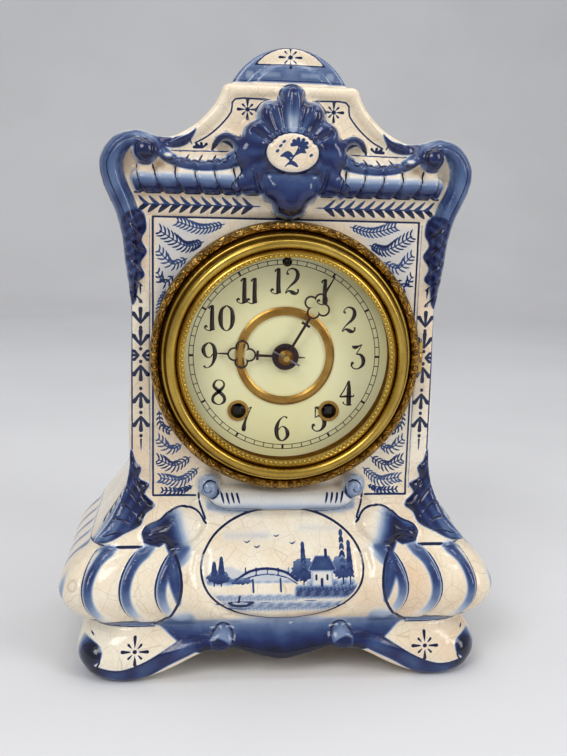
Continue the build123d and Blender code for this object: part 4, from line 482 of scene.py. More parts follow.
fill(SHELL, 0.62, curved=False, shade=shell_shade)
stroke([(0, 292.6), (5, 290), (7.6, 284.4), (11.5, 285), (16.2, 281.4), (17.2, 275.4), (22.3, 272.6),
    (24.6, 267)], 0.9, 0.98, count=30)
stroke([(37.4, 261.6), (32.4, 265.4), (28.2, 263.4), (26, 257.5), (23.5, 251), (28.3, 244.5), (25.3, 239.8)],
    0.9, 0.98, count=30)
stroke([(24.6, 267), (30.5, 270), (35.8, 267.2), (37.4, 261.6)], 0.8, 0.98)
for angle in (22, 48, 72):
    a = radians(angle)
    stroke([(14.5 * cos(a), 262 + 11 * sin(a)), (20 * cos(a), 262 + 23 * sin(a))], 0.9, 0.9, "leaf")
front.sides = (1,)
clear(circle(0, 260.4, 12.4, 28, 9.0), curved=False)
stroke(circle(0, 260.4, 12.8, 40, 9.4) + [(12.8, 260.4)], 0.95, 0.98, count=80)
stroke([(-3.6, 254), (0.4, 258.6), (3.2, 264.4)], 0.6, 0.8)
for angle in (20, 60, 100, 140, 180, 300, 340):
    a = radians(angle)
    stroke([(3.0 + 3.6 * cos(a), 264 + 2.8 * sin(a)), (3.0, 264)], 1.7, 0.72, "tail")
for x, z, way in ((-1.2, 257, 150), (1.0, 259.4, 20), (-2.6, 255.2, -20), (0.2, 258.4, 165)):
    a = radians(way)
    stroke([(x, z), (x + 2.6 * cos(a), z + 1.2 + 2.0 * sin(a)), (x + 5.4 * cos(a), z + 3.4 * sin(a))], 1.9,
        0.7, "leaf")
for x, z in ((-6.2, 263.2), (-4.6, 265.2), (-7.6, 260.8), (8.2, 259.2)):
    stroke([(x, z), (x + 0.6, z + 0.4)], 1.3, 0.62)
front.sides = (1, -1)
fill([(-4, 250.2), (13.2, 250.2), (14.6, 241), (12, 237.6), (9, 236.4), (7.2, 231.6), (0, 228.2), (-4, 230)],
    0.6, curved=False, shade=lambda x, z: np.clip(0.6 + (249 - z) * 0.024, 0.5, 0.97))
stroke([(0, 250.6), (13.4, 250.6), (14.4, 241), (9.4, 236.4), (7.2, 231.4), (0, 228.4)], 0.8, 0.95)
stroke([(0, 238.0), (6, 238.4), (12.5, 240)], 0.7, 0.95)

# Laurel band
stroke([(14, 235.2), (70, 235.2)], 0.55, 0.6)
for k in range(11):
    x = 17.5 + 5.0 * k
    stroke([(x, 235.4), (x + 2.4, 236.6), (x + 5.0, 239.2)], 1.5, 0.66, "leaf")
    stroke([(x, 235.0), (x + 2.8, 233.8), (x + 5.2, 231.4)], 2.3, 0.97, "leaf")

# Panel: frame lines, ground tint and fern sprays
fill([(30, 228), (64.6, 228), (64.6, 172), (56, 190), (44, 212)], 0.13, soft=6.0, curved=False)
stroke([(0, 229.2), (65.6, 229.2)], 0.9, LINE_INK)
stroke([(65.6, 229.2), (65.6, 89)], 1.0, LINE_INK)
stroke([(65.6, 89), (44, 89)], 1.0, LINE_INK)
stroke([(67.2, 228), (67.2, 92)], 0.45, 0.5)
SPRAYS = (
    ([(31, 226.4), (42, 224.0), (54, 227.0)], 4.4), ([(41, 217.6), (50, 215.6), (62.4, 222.6)], 5.2),
    ([(49, 209.4), (56, 206.6), (63, 213)], 4.6), ([(55.6, 200.8), (60, 197.4), (63.4, 202.4)], 3.8),
    ([(59.4, 194), (62, 186), (62.6, 175)], 3.0), ([(62.6, 133), (61.6, 126), (57.2, 122.4)], 3.2),
    ([(51, 115.4), (56.6, 113.4), (63, 118.4)], 4.6), ([(46.6, 109), (54.6, 104.4), (63, 107.6)], 5.2),
    ([(42.6, 103.2), (51, 96.6), (62, 97.6)], 4.8), ([(45.5, 93.6), (52, 91.0), (61, 91.4)], 2.8),
)
for index, (spine, length) in enumerate(SPRAYS):
    stroke(spine, 0.55, 0.7)
    run = np.hypot(*np.diff(smooth(spine, 40), axis=0).T).sum()
    leaf_row(front, spine, int(run / 1.75), length, 0.85, 0.62 + 0.2 * (index % 2), 52)
fill([(66.8, 228), (64.4, 228), (64.4, 90), (66.8, 90)], 0.0, soft=0.3, curved=False)
stroke([(65.6, 229.2), (65.6, 89)], 1.0, LINE_INK)

# Pilaster drops
DROP_X = 71.6
stroke([(DROP_X, 195.5), (DROP_X, 190.6)], 1.0, 0.95, "tail")
for z in (188, 175, 164.4, 158, 144.3, 132, 120):
    stroke([(DROP_X, z), (DROP_X, z + 0.2)], 1.7, 0.97)
for z in (177, 166):
    fleur(front, DROP_X, z, 7.4, 1)
for z in (156.4, 142.6, 130.4):
    fleur(front, DROP_X, z, 7.4, -1)
for angle in (0, 40, 140, 180, 220, 320):
    a = radians(angle)
    stroke([(DROP_X + 4.2 * cos(a), 161.2 + 3.4 * sin(a)), (DROP_X + 0.8 * cos(a), 161.2)], 1.6, 0.92, "tail")
stroke([(DROP_X, 118.2), (DROP_X, 111.4)], 1.0, 0.9, "tail")
stroke([(76.2, 190), (76.0, 150), (76.1, 113)], 0.8, 0.75)

# Edge leaves
fill(ACANTHUS_UP, 0.8, 0.97, 1.0, shade=lambda x, z: 0.66 + 0.26 * np.sin(z * 0.62 + x * 0.5) ** 2)
fill(ACANTHUS_DOWN, 0.7, 0.95, 1.0, shade=lower_leaf_shade)
for vein in UPPER_VEINS + LOWER_VEINS:
    stroke(vein, 0.9, 0.98, "leaf")

# Collar, folded leaves and side scrolls
fill([(-5, 95), (36, 95), (40, 90), (38, 82), (30, 80), (-5, 79)], 0.2, soft=2.0, curved=False,
    shade=lambda x, z: 0.13 + 0.14 * np.exp(-((z - 84.0) / 2.6) ** 2))
stroke([(0, 83.4), (20, 83.6), (32, 85.0), (38.4, 89)], 1.0, 0.62)
stroke([(0, 81.4), (22, 81.6), (34, 83.0)], 0.5, 0.5)
fill(circle(37.4, 95.4, 6.2), 0.3, 0.6, 1.4)
stroke(curl(37.4, 95.4, 6.0, 250, -400, 0.75), 1.0, 0.92)
stroke([(42.4, 93), (42.0, 86), (39, 78.5)], 1.0, 0.9)
for k in range(4):
    stroke([(31.5 - 2.6 * k, 93.4), (30.4 - 2.6 * k, 90.2), (29.6 - 2.6 * k, 87.4)], 1.1, 0.85, "leaf")
fill(FOLD[:9] + [(57, 64), (52, 58), (46, 62), (41, 68)], 0.7, soft=1.4, shade=fold_shade)
stroke(FOLD[:6] + [(70.4, 71.6), (66.4, 68.8), (64.6, 71.2)], 0.85, 0.92, count=30)
SCROLL = [(64.8, 71.0), (66.6, 69.0), (63.4, 67.6), (57.6, 68.2), (52.6, 61), (50.6, 51), (52.0, 42),
    (56.6, 34.0), (64, 28.6)]
press(SCROLL, 1.8, 0.9, count=36)
stroke([(70, 66.8), (97.5, 66.6)], 1.1, 0.92)
press([(70, 66.0), (97, 65.8)], 1.6, -0.7)

# Gadroon stripes of the base
RIB_RADIUS = 20.0
RIB_CENTRE_Z = 48.0


def rib_arc(centre_x, radius, low, high):
    turns = np.radians(np.arange(low, high + 1, 6))
    return [(centre_x + radius * cos(a), RIB_CENTRE_Z + radius * sin(a)) for a in turns]


for centre_x, low in ((41.0, -48), (58.5, -56), (77.0, -60)):
    for line in front.each_side(rib_arc(centre_x, RIB_RADIUS - 0.6, low, 60)):
        win, gap, along = front.near(smooth(line, 24), 5)
        fade = np.clip(1.05 - 1.5 * np.abs(along - 0.66), 0.12, 1)
        stripe = 0.72 * fade * np.clip((3.0 - gap) / 1.6, 0, 1)
        front.wash[win] = np.maximum(front.wash[win], stripe)
    stroke(rib_arc(centre_x, RIB_RADIUS + 2.6, low + 14, 60), 1.1, 0.78, "leaf", count=20)
    press(rib_arc(centre_x, RIB_RADIUS + 3.2, low, 62), 2.2, -0.6, True)
    fill([(centre_x + 6, 66.2), (centre_x + 13, 66.2), (centre_x + 17, 60), (centre_x + 13, 60.5)], 0.6,
        soft=2.4)
fill([(51.6, 40), (56, 50), (58.0, 60), (54.4, 64), (51.2, 54)], 0.55, 0.8, 1.6, soft=1.8)
fill([(103, 64), (110, 56), (113.6, 46), (113, 36), (109, 30), (110.4, 40), (108, 52), (100, 65)], 0.6,
    soft=2.2)

# Apron gradient, feet
def apron(x, z):
    low = 12.0 + 5.0 * np.clip(np.abs(x) / 40, 0, 1)
    return 1.1 * np.clip((32.0 - z) / (31.0 - low), 0, 1) ** 0.85


fill([(-5, 33), (44, 33), (54, 30), (60, 27), (50, 19), (40, 15), (25, 8), (-5, 5)], 0.8, soft=1.0,
    curved=False, shade=apron)
fill([(44, 34), (52, 40), (58, 33), (67, 27), (60, 20), (48, 22)], 0.5, soft=3.0,
    shade=lambda x, z: np.clip(0.75 - (z - 22) * 0.045, 0, 0.8))
clear([(62, 27.5), (98, 27.5), (104, 14), (100, 0), (72, 0), (50, 19)], curved=False, soft=1.2)
fill([(64, 30.6), (97, 30.0), (95, 27.2), (66, 27.4)], 0.36, 0.55, 0.8, curved=False)
stroke([(64, 27.0), (96, 26.9)], 0.7, 0.85)
stroke([(60, 29.8), (99, 30.8)], 0.8, 0.85)
rosette(front, 73.5, 16.4, 6.2, 8, 1.7, 0.98)
STRAP_FILL = [(98, 20), (90.5, 17.5), (90.6, 12), (93.8, 9.2), (88, 7.4), (80, 7.2), (70, 10.6), (60, 16.4),
    (50, 21.8), (40, 23.2), (36, 20.6), (44, 16), (56, 10), (66, 4), (74, -1), (96, -1.5), (103.5, 2),
    (105, 12), (103, 18)]
fill(STRAP_FILL, 0.62, 0.86, 1.1, shade=foot_shade)
stroke(curl(96.6, 13, 6.4, 250, -300, 0.45), 0.9, 0.98)
stroke([(92.6, 8.0), (86, 6.8), (78, 7.2), (68, 11.4), (58, 17.0), (50, 21.2)], 0.9, 0.95)
fill(CURL_LEAF, 0.34, 0.8, 1.0)
fill([(35, 22), (30, 21.5), (26.5, 18.6), (29.5, 15.4), (34.5, 16.6)], 0.92)
stroke(CURL_LEAF[:5], 0.9, 0.95)
for k in range(3):
    stroke([(99 - 1.2 * k, 27 - 2.4 * k), (96.6 - 1.2 * k, 26 - 2.4 * k)], 1.1, 0.95, "leaf")

stroke(SCROLL, 1.4, 0.95, count=36)
fill(circle(66.6, 71.8, 3.4), 0.86, 0.98, 1.0)
fill([(70.4, 71.8), (66, 69.6), (61, 71.4), (58.5, 68.4), (62, 66.6), (69.5, 68)], 0.9, curved=False)

# Oval picture: a made-up river bank with a cottage, poplars, a low bridge and birds
front.sides = (1,)
clear(circle(0, PICTURE_Z, 40.5, 40, 26), curved=False)


def scene_wash(x_low, x_high, z_low, z_high, level, soft=2.0, grain=0.0):
    """Soft wash in a box of the oval picture."""
    win = front.window((x_low - 2, z_low - 2), (x_high + 2, z_high + 2))
    xs = front.gx[win]
    zs = front.gz[win]
    cover = np.clip((xs - x_low) / soft + 0.5, 0, 1) * np.clip((x_high - xs) / soft + 0.5, 0, 1)
    cover *= np.clip((zs - z_low) / soft + 0.5, 0, 1) * np.clip((z_high - zs) / soft + 0.5, 0, 1)
    cover *= np.hypot(xs / 39.5, (zs - PICTURE_Z) / 25.0) < 1
    grit = 1 + grain * np.sin(xs * 2.3 + 3 * np.sin(zs * 1.1)) * np.sin(zs * 3.1 + xs)
    front.wash[win] = np.maximum(front.wash[win], level * cover * grit)


scene_wash(-34, 36, 36.5, 41.5, 0.30, 3.0, 0.5)
scene_wash(-38, 8, 42.0, 45.6, 0.26, 2.0, 0.5)
scene_wash(6, 38, 43.6, 49.4, 0.62, 2.4, 0.4)
scene_wash(12, 36, 46, 52, 0.42, 3.0, 0.6)
scene_wash(-39, -24, 50.4, 54.0, 0.34, 2.0, 0.4)
scene_wash(-26, 6, 51.0, 52.4, 0.26, 1.2, 0.4)
scene_wash(-30, -6, 69, 72.6, 0.12, 3.0)
scene_wash(8, 30, 72.4, 75.4, 0.10, 3.0)


def foliage(x, z, width, height, count, ink):
    """Clump of small brush dabs, darker below."""
    for k in range(count):
        turn = 2.39996 * k
        reach = sqrt((k + 0.5) / count)
        a = x + width * reach * cos(turn)
        b = z + height * reach * sin(turn)
        stroke([(a, b), (a + 0.9, b + 0.3)], 1.0, ink - 0.2 * sin(turn) * reach)


fill([(-39, 53.4), (-34, 56.8), (-27, 58.6), (-20, 56.6), (-12, 57.8), (-4, 56.6), (4, 57.6), (10, 55),
    (8, 52.4), (-38, 52.2)], 0.16, soft=1.6)
foliage(9.6, 56.6, 5.6, 5.0, 60, 0.6)
foliage(28.6, 57.4, 4.4, 4.6, 50, 0.55)
foliage(-33, 53.6, 5.4, 2.6, 40, 0.6)
foliage(-22, 52.0, 6.0, 1.3, 24, 0.5)
stroke([(-27, 41.2), (-24.6, 39.8), (-18.6, 39.6), (-15.4, 41.4)], 1.5, 0.86)
stroke([(-26.4, 41.8), (-16, 41.9)], 0.6, 0.8)
stroke([(-22.4, 41.6), (-21.8, 44.8)], 1.1, 0.85)
stroke([(-25.6, 38.2), (-20, 37.6), (-15.6, 38.2)], 0.8, 0.5, "leaf")
fill([(14, 49), (14, 56.6), (25, 56.6), (25, 49)], 0.10, 0.45, 0.5, curved=False)
fill([(12.6, 56.4), (16.4, 62.2), (23.4, 62.2), (26.8, 56.4)], 0.62, 0.8, 0.8, curved=False)
stroke([(21.8, 62), (21.8, 64.6)], 1.5, 0.8)
for x in (16.6, 22.2):
    stroke([(x, 52.4), (x, 54.2)], 1.1, 0.85)
stroke([(19.4, 49.4), (19.4, 52.4)], 1.4, 0.8)
for x, top in ((30.2, 72), (33.8, 67), (10.2, 66.5), (-31, 60.4), (-34.6, 58.2)):
    stroke([(x, 50), (x, 54)], 0.7, 0.8)
    for k in range(7):
        z = 53 + (top - 53) * k / 6.5
        spread = 2.1 * (1 - k / 8.5)
        stroke([(x - spread, z), (x, z + 2.0), (x + spread, z)], 1.5, 0.66 + 0.12 * (k % 2), "leaf", count=6)
stroke([(-24, 52.4), (-17, 56.2), (-8, 57.4), (1, 55.8), (7, 52)], 1.1, 0.8)
stroke([(-24, 50.8), (-17, 53.8), (-8, 55.0), (1, 53.6), (7, 50.4)], 0.6, 0.66)
for x in (-19, -13.6, -8, -2.6, 2.6):
    stroke([(x, 55.0), (x, 57.8)], 0.6, 0.75)
stroke([(-15.4, 52.6), (-15, 46.8)], 1.0, 0.66)
stroke([(-1.6, 53), (-1.2, 46.8)], 1.0, 0.66)
for x, z in ((-18, 68), (-13, 66), (-3, 70.4), (5, 67.4)):
    stroke([(x - 1.8, z + 0.8), (x, z), (x + 1.9, z + 1.0)], 0.6, 0.72, "leaf")
for k in range(9):
    x = -32 + 7.6 * k
    z = 40.2 - 2.2 * sin(k * 1.9)
    stroke([(x - 3.6, z), (x, z - 0.3), (x + 3.8, z)], 0.7, 0.45, "leaf")
for k in range(7):
    stroke([(8 + 4.4 * k, 46.6), (9 + 4.4 * k, 49.6)], 0.9, 0.8, "tail")
stroke(circle(0, PICTURE_Z, 41, 48, 26.4) + [(41, 57)], 1.1, 0.95, count=96)
front.sides = (1, -1)

# Side faces: x of this board is the case's depth
flank = Canvas(-56.0, 56.0, -2.0, 313.0)
flank.sides = (1,)
frame_line = [(-14, 104), (46, 104), (46, 236), (-14, 236), (-14, 104)]
for a, b in zip(frame_line, frame_line[1:]):
    flank.stroke([a, b], 1.2, 0.75)
for k in range(9):
    flank.stroke([(-27 + 1.6 * k, 74 + 3.8 * k), (-22 + 1.5 * k, 77 + 3.8 * k),
        (-18 + 1.4 * k, 82 + 3.8 * k)], 1.6, 0.9, "leaf")
leaf_row(flank, [(16, 120), (14, 150), (18, 180), (15, 214)], 17, 9.0, 2.0, 0.8, 48)
flank.stroke([(16, 120), (14, 150), (18, 180), (15, 214)], 0.8, 0.75)
for k in range(5):
    x = -26 + 18 * k
    arc = [(x, 64), (x + 5, 56), (x + 6.4, 45), (x + 4, 34), (x, 28)]
    for line in flank.each_side(arc):
        win, gap, along = flank.near(smooth(line, 20), 5)
        stripe = 0.55 * np.clip(1.1 - np.abs(along - 0.35) * 1.3, 0, 1) * np.clip((2.8 - gap) / 1.2, 0, 1)
        flank.wash[win] = np.maximum(flank.wash[win], stripe)
    flank.stroke([(x + 2.8, 63), (x + 7.4, 55), (x + 8.8, 45)], 0.8, 0.8, "leaf")
flank.stroke([(-44, 66.6), (52, 66.6)], 1.0, 0.9)
flank.stroke([(-40, 30.6), (52, 30.6)], 0.8, 0.85)
flank.fill([(-54, -1), (-54, 8), (-30, 8), (-26, 14), (30, 14), (34, 8), (56, 8), (56, -1)], 0.55, 0.8, 1.4,
    curved=False)
flank.fill([(-30, 236), (-30, 268), (56, 268), (56, 236)], 0.42, 0.6, 2.0, curved=False)
rosette(flank, 0, 20, 5.5)


def cut_depth(z):
    """Depth of the plain front above the base's ledge."""
    return np.interp(z, (66, 70, 76.64, 82, 88.8, 96, 104),
        (-42.0, -38.2, -34.0, -30.4, -27.5, -26.3, PANEL_Y))


def read(items, field, kind=np.float32):
    """Rows of three numbers, one row for each item of a mesh."""
    values = np.empty(len(items) * 3, kind)
    items.foreach_get(field, values)
    return values.reshape(-1, 3)


def case_shape():
    """Points and quads of the glazed case, from the plain solid and the drawn relief."""
    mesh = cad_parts["ceramic_case"].data
    mesh.calc_loop_triangles()
    points = read(mesh.vertices, "co", float) * 1000
    triangles = read(mesh.loop_triangles, "vertices", int)
    grid = vdb.FloatGrid.createLevelSetFromPolygons(
        points.astype(np.float32), triangles=triangles.astype(np.uint32),
        transform=vdb.createLinearTransform(voxelSize=VOXEL), halfWidth=6.0,
    )
    low = np.floor(np.array([-117.0, -59.0, -3.0]) / VOXEL).astype(int)
    high = np.ceil(np.array([117.0, 59.0, 315.0]) / VOXEL).astype(int)
    field = np.zeros(high - low, np.float32)
    grid.copyToArray(field, ijk=tuple(int(v) for v in low))
    xs, ys, zs = [(np.arange(low[a], high[a]) * VOXEL).astype(np.float32) for a in range(3)]
    cut = np.where(zs > LEDGE_Z, cut_depth(zs), -60.0)
    field = np.maximum(field, cut[None, None, :] - ys[None, :, None])
    flat_x, flat_z = np.meshgrid(xs, zs, indexing="ij")
    tall = front.sample(front.tall, flat_x, flat_z)
    top = (cut_depth(flat_z) - tall)[:, None, :] - ys[None, :, None]
    back = ys[None, :, None] - (cut_depth(flat_z) + 1.8)[:, None, :]
    relief = np.maximum(top, back) * 0.85
    relief[:, :, zs < LEDGE_Z + 0.5] = FAR
    blend = 1.6
    mix = np.clip(0.5 + 0.5 * (relief - field) / blend, 0, 1)
    field = relief * (1 - mix) + field * mix - blend * mix * (1 - mix)
    lift = front.sample(front.offset, flat_x, flat_z)
    lift[:, zs > LEDGE_Z + 1.5] = 0
    facing = np.clip((10.0 - ys) / 20, 0, 1)
    field -= lift[:, None, :] * facing[None, :, None]
    for axis in range(3):
        for _ in range(2):
            field = (np.roll(field, 1, axis) + 2 * field + np.roll(field, -1, axis)) / 4
    edge = 0.15
    field += (0.4 * np.clip((np.abs(xs) - 104) / 8, 0, 1))[:, None, None]
    field = np.maximum(field, np.abs(xs)[:, None, None] - CASE_HALF_WIDTH)
    field = np.maximum(field, np.abs(ys)[None, :, None] - (BACK_Y - edge))
    field = np.maximum(field, zs[None, None, :] - (CASE_HEIGHT - edge))
    field = np.maximum(field, 0.05 - zs[None, None, :])
    result = vdb.FloatGrid(FAR)
    result.copyFromArray(field.astype(np.float32), ijk=tuple(int(v) for v in low))
    result.transform = vdb.createLinearTransform(voxelSize=VOXEL)
    points, quads = result.convertToQuads(0.0)
    return points, quads


def link(name, data):
    """New object in the scene for a mesh, lamp or camera."""
    made = bpy.data.objects.new(name, data)
    bpy.context.scene.collection.objects.link(made)
    return made


def finish_mesh(mesh, look):
    """Smooth shading and the one material of a mesh."""
    mesh.polygons.foreach_set("use_smooth", [True] * len(mesh.polygons))
    mesh.materials.append(look)


def new_object(name, points, faces, body, look, *nodes, sharp=None):
    """Smooth-shaded piece that rides on a body and may stand in for CAD nodes."""
    mesh = bpy.data.meshes.new(name)
    mesh.from_pydata([tuple(p) for p in points], [], [tuple(int(i) for i in f) for f in faces])
    mesh.validate()
    mesh.update()
    finish_mesh(mesh, look)
    piece = link(name, mesh)
    if sharp is not None:
        mesh.set_sharp_from_angle(angle=radians(sharp))
    if nodes:
        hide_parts(*nodes)
    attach(piece, body)


def material(name):
    """New material with its tree, its shader and the place on the object."""
    made = bpy.data.materials.new(name)
    made.use_nodes = True
    tree = made.node_tree
    return made, tree, tree.nodes["Principled BSDF"], add(tree, "ShaderNodeTexCoord").outputs["Object"]


def add(tree, kind, inputs=None, **settings):
    made = tree.nodes.new(kind)
    for key, value in settings.items():
        setattr(made, key, value)
    for key, value in (inputs or {}).items():
        if hasattr(value, "is_linked"):
            tree.links.new(value, made.inputs[key])
        else:
            made.inputs[key].default_value = value
    return made


def maths(tree, operation, a, b=0.0, clamp=False):
    return add(tree, "ShaderNodeMath", {0: a, 1: b}, operation=operation, use_clamp=clamp).outputs[0]


def scaled(tree, value, factor, offset):
    """The value times the factor, plus the offset."""
    return add(tree, "ShaderNodeMath", {0: value, 1: factor, 2: offset},
        operation="MULTIPLY_ADD").outputs[0]


def blend_colour(tree, factor, a, b, mode="MIX"):
    made = add(tree, "ShaderNodeMix", data_type="RGBA", blend_type=mode)
    for socket, value in ((made.inputs[0], factor), (made.inputs[6], a), (made.inputs[7], b)):
        if hasattr(value, "is_linked"):
            tree.links.new(value, socket)
        else:
            socket.default_value = value
    return made.outputs[2]


def ramp(tree, factor, stops):
    """Colour ramp through the given places and colours."""
    made = add(tree, "ShaderNodeValToRGB", {0: factor})
    band = made.color_ramp
    while len(band.elements) < len(stops):
        band.elements.new(0.5)
    for element, (place, colour) in zip(band.elements, stops):
        element.position = place
        element.color = colour
    return made.outputs[0]


def rgb(*values):
    """Display colour, 0 to 255, as the shader's linear colour."""
    out = []
    for v in values:
        v /= 255
        out.append(v / 12.92 if v <= 0.04045 else ((v + 0.055) / 1.055) ** 2.4)
    return (*out, 1.0)


def noise(tree, place, scale, detail=4.0, rough=0.55):
    return add(tree, "ShaderNodeTexNoise", {"Vector": place, "Scale": scale, "Detail": detail,
        "Roughness": rough}).outputs["Fac"]


def bump(tree, shader, height, strength, distance):
    made = add(tree, "ShaderNodeBump", {"Height": height, "Strength": strength, "Distance": distance})
    tree.links.new(made.outputs[0], shader.inputs["Normal"])


def glaze():
    """Crackled ivory glaze over stained biscuit, with blue washes and crisp brush lines."""
    made, tree, shader, place = material("glazed_ceramic")
    paint = add(tree, "ShaderNodeAttribute", attribute_name="paint")
    parts = add(tree, "ShaderNodeSeparateColor", {0: paint.outputs["Color"]}).outputs
    brush = noise(tree, place, 420, 3)
    wobble = scaled(tree, brush, 0.2, -0.1)
    line = maths(tree, "ADD", parts[1], wobble)
    line = add(tree, "ShaderNodeMapRange", {0: line, 1: 0.36, 2: 0.62},
        interpolation_type="SMOOTHSTEP").outputs[0]
    ink_line = maths(tree, "MULTIPLY", line, parts[2])
    pool = noise(tree, place, 130, 4)
    uneven = scaled(tree, pool, 0.5, 0.75)
    wash = maths(tree, "MULTIPLY", parts[0], uneven)
    ink = maths(tree, "MAXIMUM", wash, ink_line)
    stain = noise(tree, place, 13, 5, 0.6)
    speck = noise(tree, place, 55, 3)
    stain = maths(tree, "ADD", maths(tree, "MULTIPLY", stain, 0.75), maths(tree, "MULTIPLY", speck, 0.25))
    ground = ramp(tree, stain, ((0.36, rgb(235, 227, 208)), (0.5, rgb(228, 213, 188)),
        (0.66, rgb(219, 193, 162))))
    cells = add(tree, "ShaderNodeTexVoronoi", {"Vector": place, "Scale": 260},
        feature="DISTANCE_TO_EDGE").outputs["Distance"]
    big = add(tree, "ShaderNodeTexVoronoi", {"Vector": place, "Scale": 95},
        feature="DISTANCE_TO_EDGE").outputs["Distance"]
    crack = maths(tree, "SUBTRACT", 1.0, maths(tree, "DIVIDE", cells, 0.035), True)
    crack_big = maths(tree, "SUBTRACT", 1.0, maths(tree, "DIVIDE", big, 0.016), True)
    crack = maths(tree, "MULTIPLY", maths(tree, "MAXIMUM", maths(tree, "MULTIPLY", crack, 0.6), crack_big),
        0.42)
    ground = blend_colour(tree, crack, ground, rgb(150, 128, 104))
    pigment = ramp(tree, ink, ((0.0, rgb(224, 222, 216)), (0.2, rgb(160, 172, 190)),
        (0.42, rgb(88, 108, 144)), (0.62, rgb(44, 64, 108)), (0.8, rgb(20, 32, 80)), (1.0, rgb(8, 12, 36))))
    cover = maths(tree, "MULTIPLY", ink, 5.0, True)
    colour = blend_colour(tree, cover, ground, pigment)
    tree.links.new(colour, shader.inputs["Base Color"])
    rough = scaled(tree, noise(tree, place, 60, 2), 0.1, 0.07)
    tree.links.new(rough, shader.inputs["Roughness"])
    shader.inputs["IOR"].default_value = 1.5
    ripple = maths(tree, "ADD", noise(tree, place, 42, 2), maths(tree, "MULTIPLY", crack, -0.12))
    bump(tree, shader, ripple, 0.35, 0.0012)
    return made


def brass(name, bright, dull, rough=0.3, scale=60.0, age=0.5):
    """Cloudy brass with dirt in its hollows."""
    made, tree, shader, place = material(name)
    cloud = noise(tree, place, scale, 6, 0.62)
    colour = ramp(tree, cloud, ((0.36, dull), (0.62, bright)))
    hollow = add(tree, "ShaderNodeNewGeometry").outputs["Pointiness"]
    dirt = add(tree, "ShaderNodeMapRange", {0: hollow, 1: 0.5, 2: 0.43}).outputs[0]
    colour = blend_colour(tree, maths(tree, "MULTIPLY", dirt, age, True), colour, rgb(46, 32, 16))
    tree.links.new(colour, shader.inputs["Base Color"])
    shader.inputs["Metallic"].default_value = 1.0
    sheen = scaled(tree, noise(tree, place, scale * 5, 4), 0.22, rough - 0.1)
    tree.links.new(sheen, shader.inputs["Roughness"])
    bump(tree, shader, noise(tree, place, scale * 12, 3), 0.08, 0.0004)
    return made


def plain(name, colour, dark, rough, metal, scale=120.0):
    """Mottled steel, iron or paint."""
    made, tree, shader, place = material(name)
    tone = ramp(tree, noise(tree, place, scale, 5), ((0.35, dark), (0.65, colour)))
    tree.links.new(tone, shader.inputs["Base Color"])
    shader.inputs["Metallic"].default_value = metal
    level = scaled(tree, noise(tree, place, scale * 3, 3), 0.2, rough - 0.1)
    tree.links.new(level, shader.inputs["Roughness"])
    bump(tree, shader, noise(tree, place, scale * 4, 3), 0.1, 0.0003)
    return made


def enamel():
    """Cream dial with a slight orange-peel surface."""
    made, tree, shader, place = material("dial_enamel")
    tone = ramp(tree, noise(tree, place, 22, 5), ((0.35, rgb(236, 229, 170)), (0.65, rgb(243, 239, 194))))
    tree.links.new(tone, shader.inputs["Base Color"])
    level = scaled(tree, noise(tree, place, 90, 3), 0.1, 0.12)
    tree.links.new(level, shader.inputs["Roughness"])
    bump(tree, shader, noise(tree, place, 30, 2), 0.2, 0.0006)
    return made


def clear_glass():
    """Thin clear pane that keeps its reflections."""
    made, tree, shader, place = material("clock_glass")
    shader.inputs["Base Color"].default_value = rgb(18, 20, 19)
    shader.inputs["Alpha"].default_value = 0.045
    level = scaled(tree, noise(tree, place, 80, 3), 0.06, 0.0)
    tree.links.new(level, shader.inputs["Roughness"])
    return made


GLAZE = glaze()
BEZEL = brass("bezel_brass", rgb(192, 162, 78), rgb(160, 128, 54), 0.28, 36.0)
RIM = brass("rim_brass", rgb(190, 152, 82), rgb(132, 98, 46), 0.32, 160.0, 1.0)
GILT = brass("gilt_brass", rgb(190, 150, 76), rgb(156, 114, 52), 0.32, 90.0, 0.6)
MOVEMENT = brass("movement_brass", rgb(204, 170, 98), rgb(188, 153, 84), 0.32, 45.0, 0.4)
STEEL = plain("steel", rgb(150, 150, 152), rgb(112, 112, 116), 0.32, 1.0)
IRON = plain("iron", rgb(40, 38, 36), rgb(24, 23, 22), 0.45, 0.3)
HANDS = plain("hand_steel", rgb(58, 26, 28), rgb(34, 14, 18), 0.34, 0.2)
INK = plain("dial_black", rgb(44, 30, 30), rgb(30, 20, 20), 0.4, 0.0)
ENAMEL = enamel()
GLASS = clear_glass()


def decorated(face):
    """Whether a face lies on the front, the dome's front or a side."""
    middle = face.calc_center_median()
    ahead = face.normal.y < -0.2 and (middle.y < PANEL_Y + 2 or middle.z > DOME_Z)
    return ahead or face.normal.x * middle.x > 36


def on_panel(face):
    """Whether a face lies on the flat front panel."""
    return face.normal.y < -0.98 and abs(face.calc_center_median().y - PANEL_Y) < 0.4


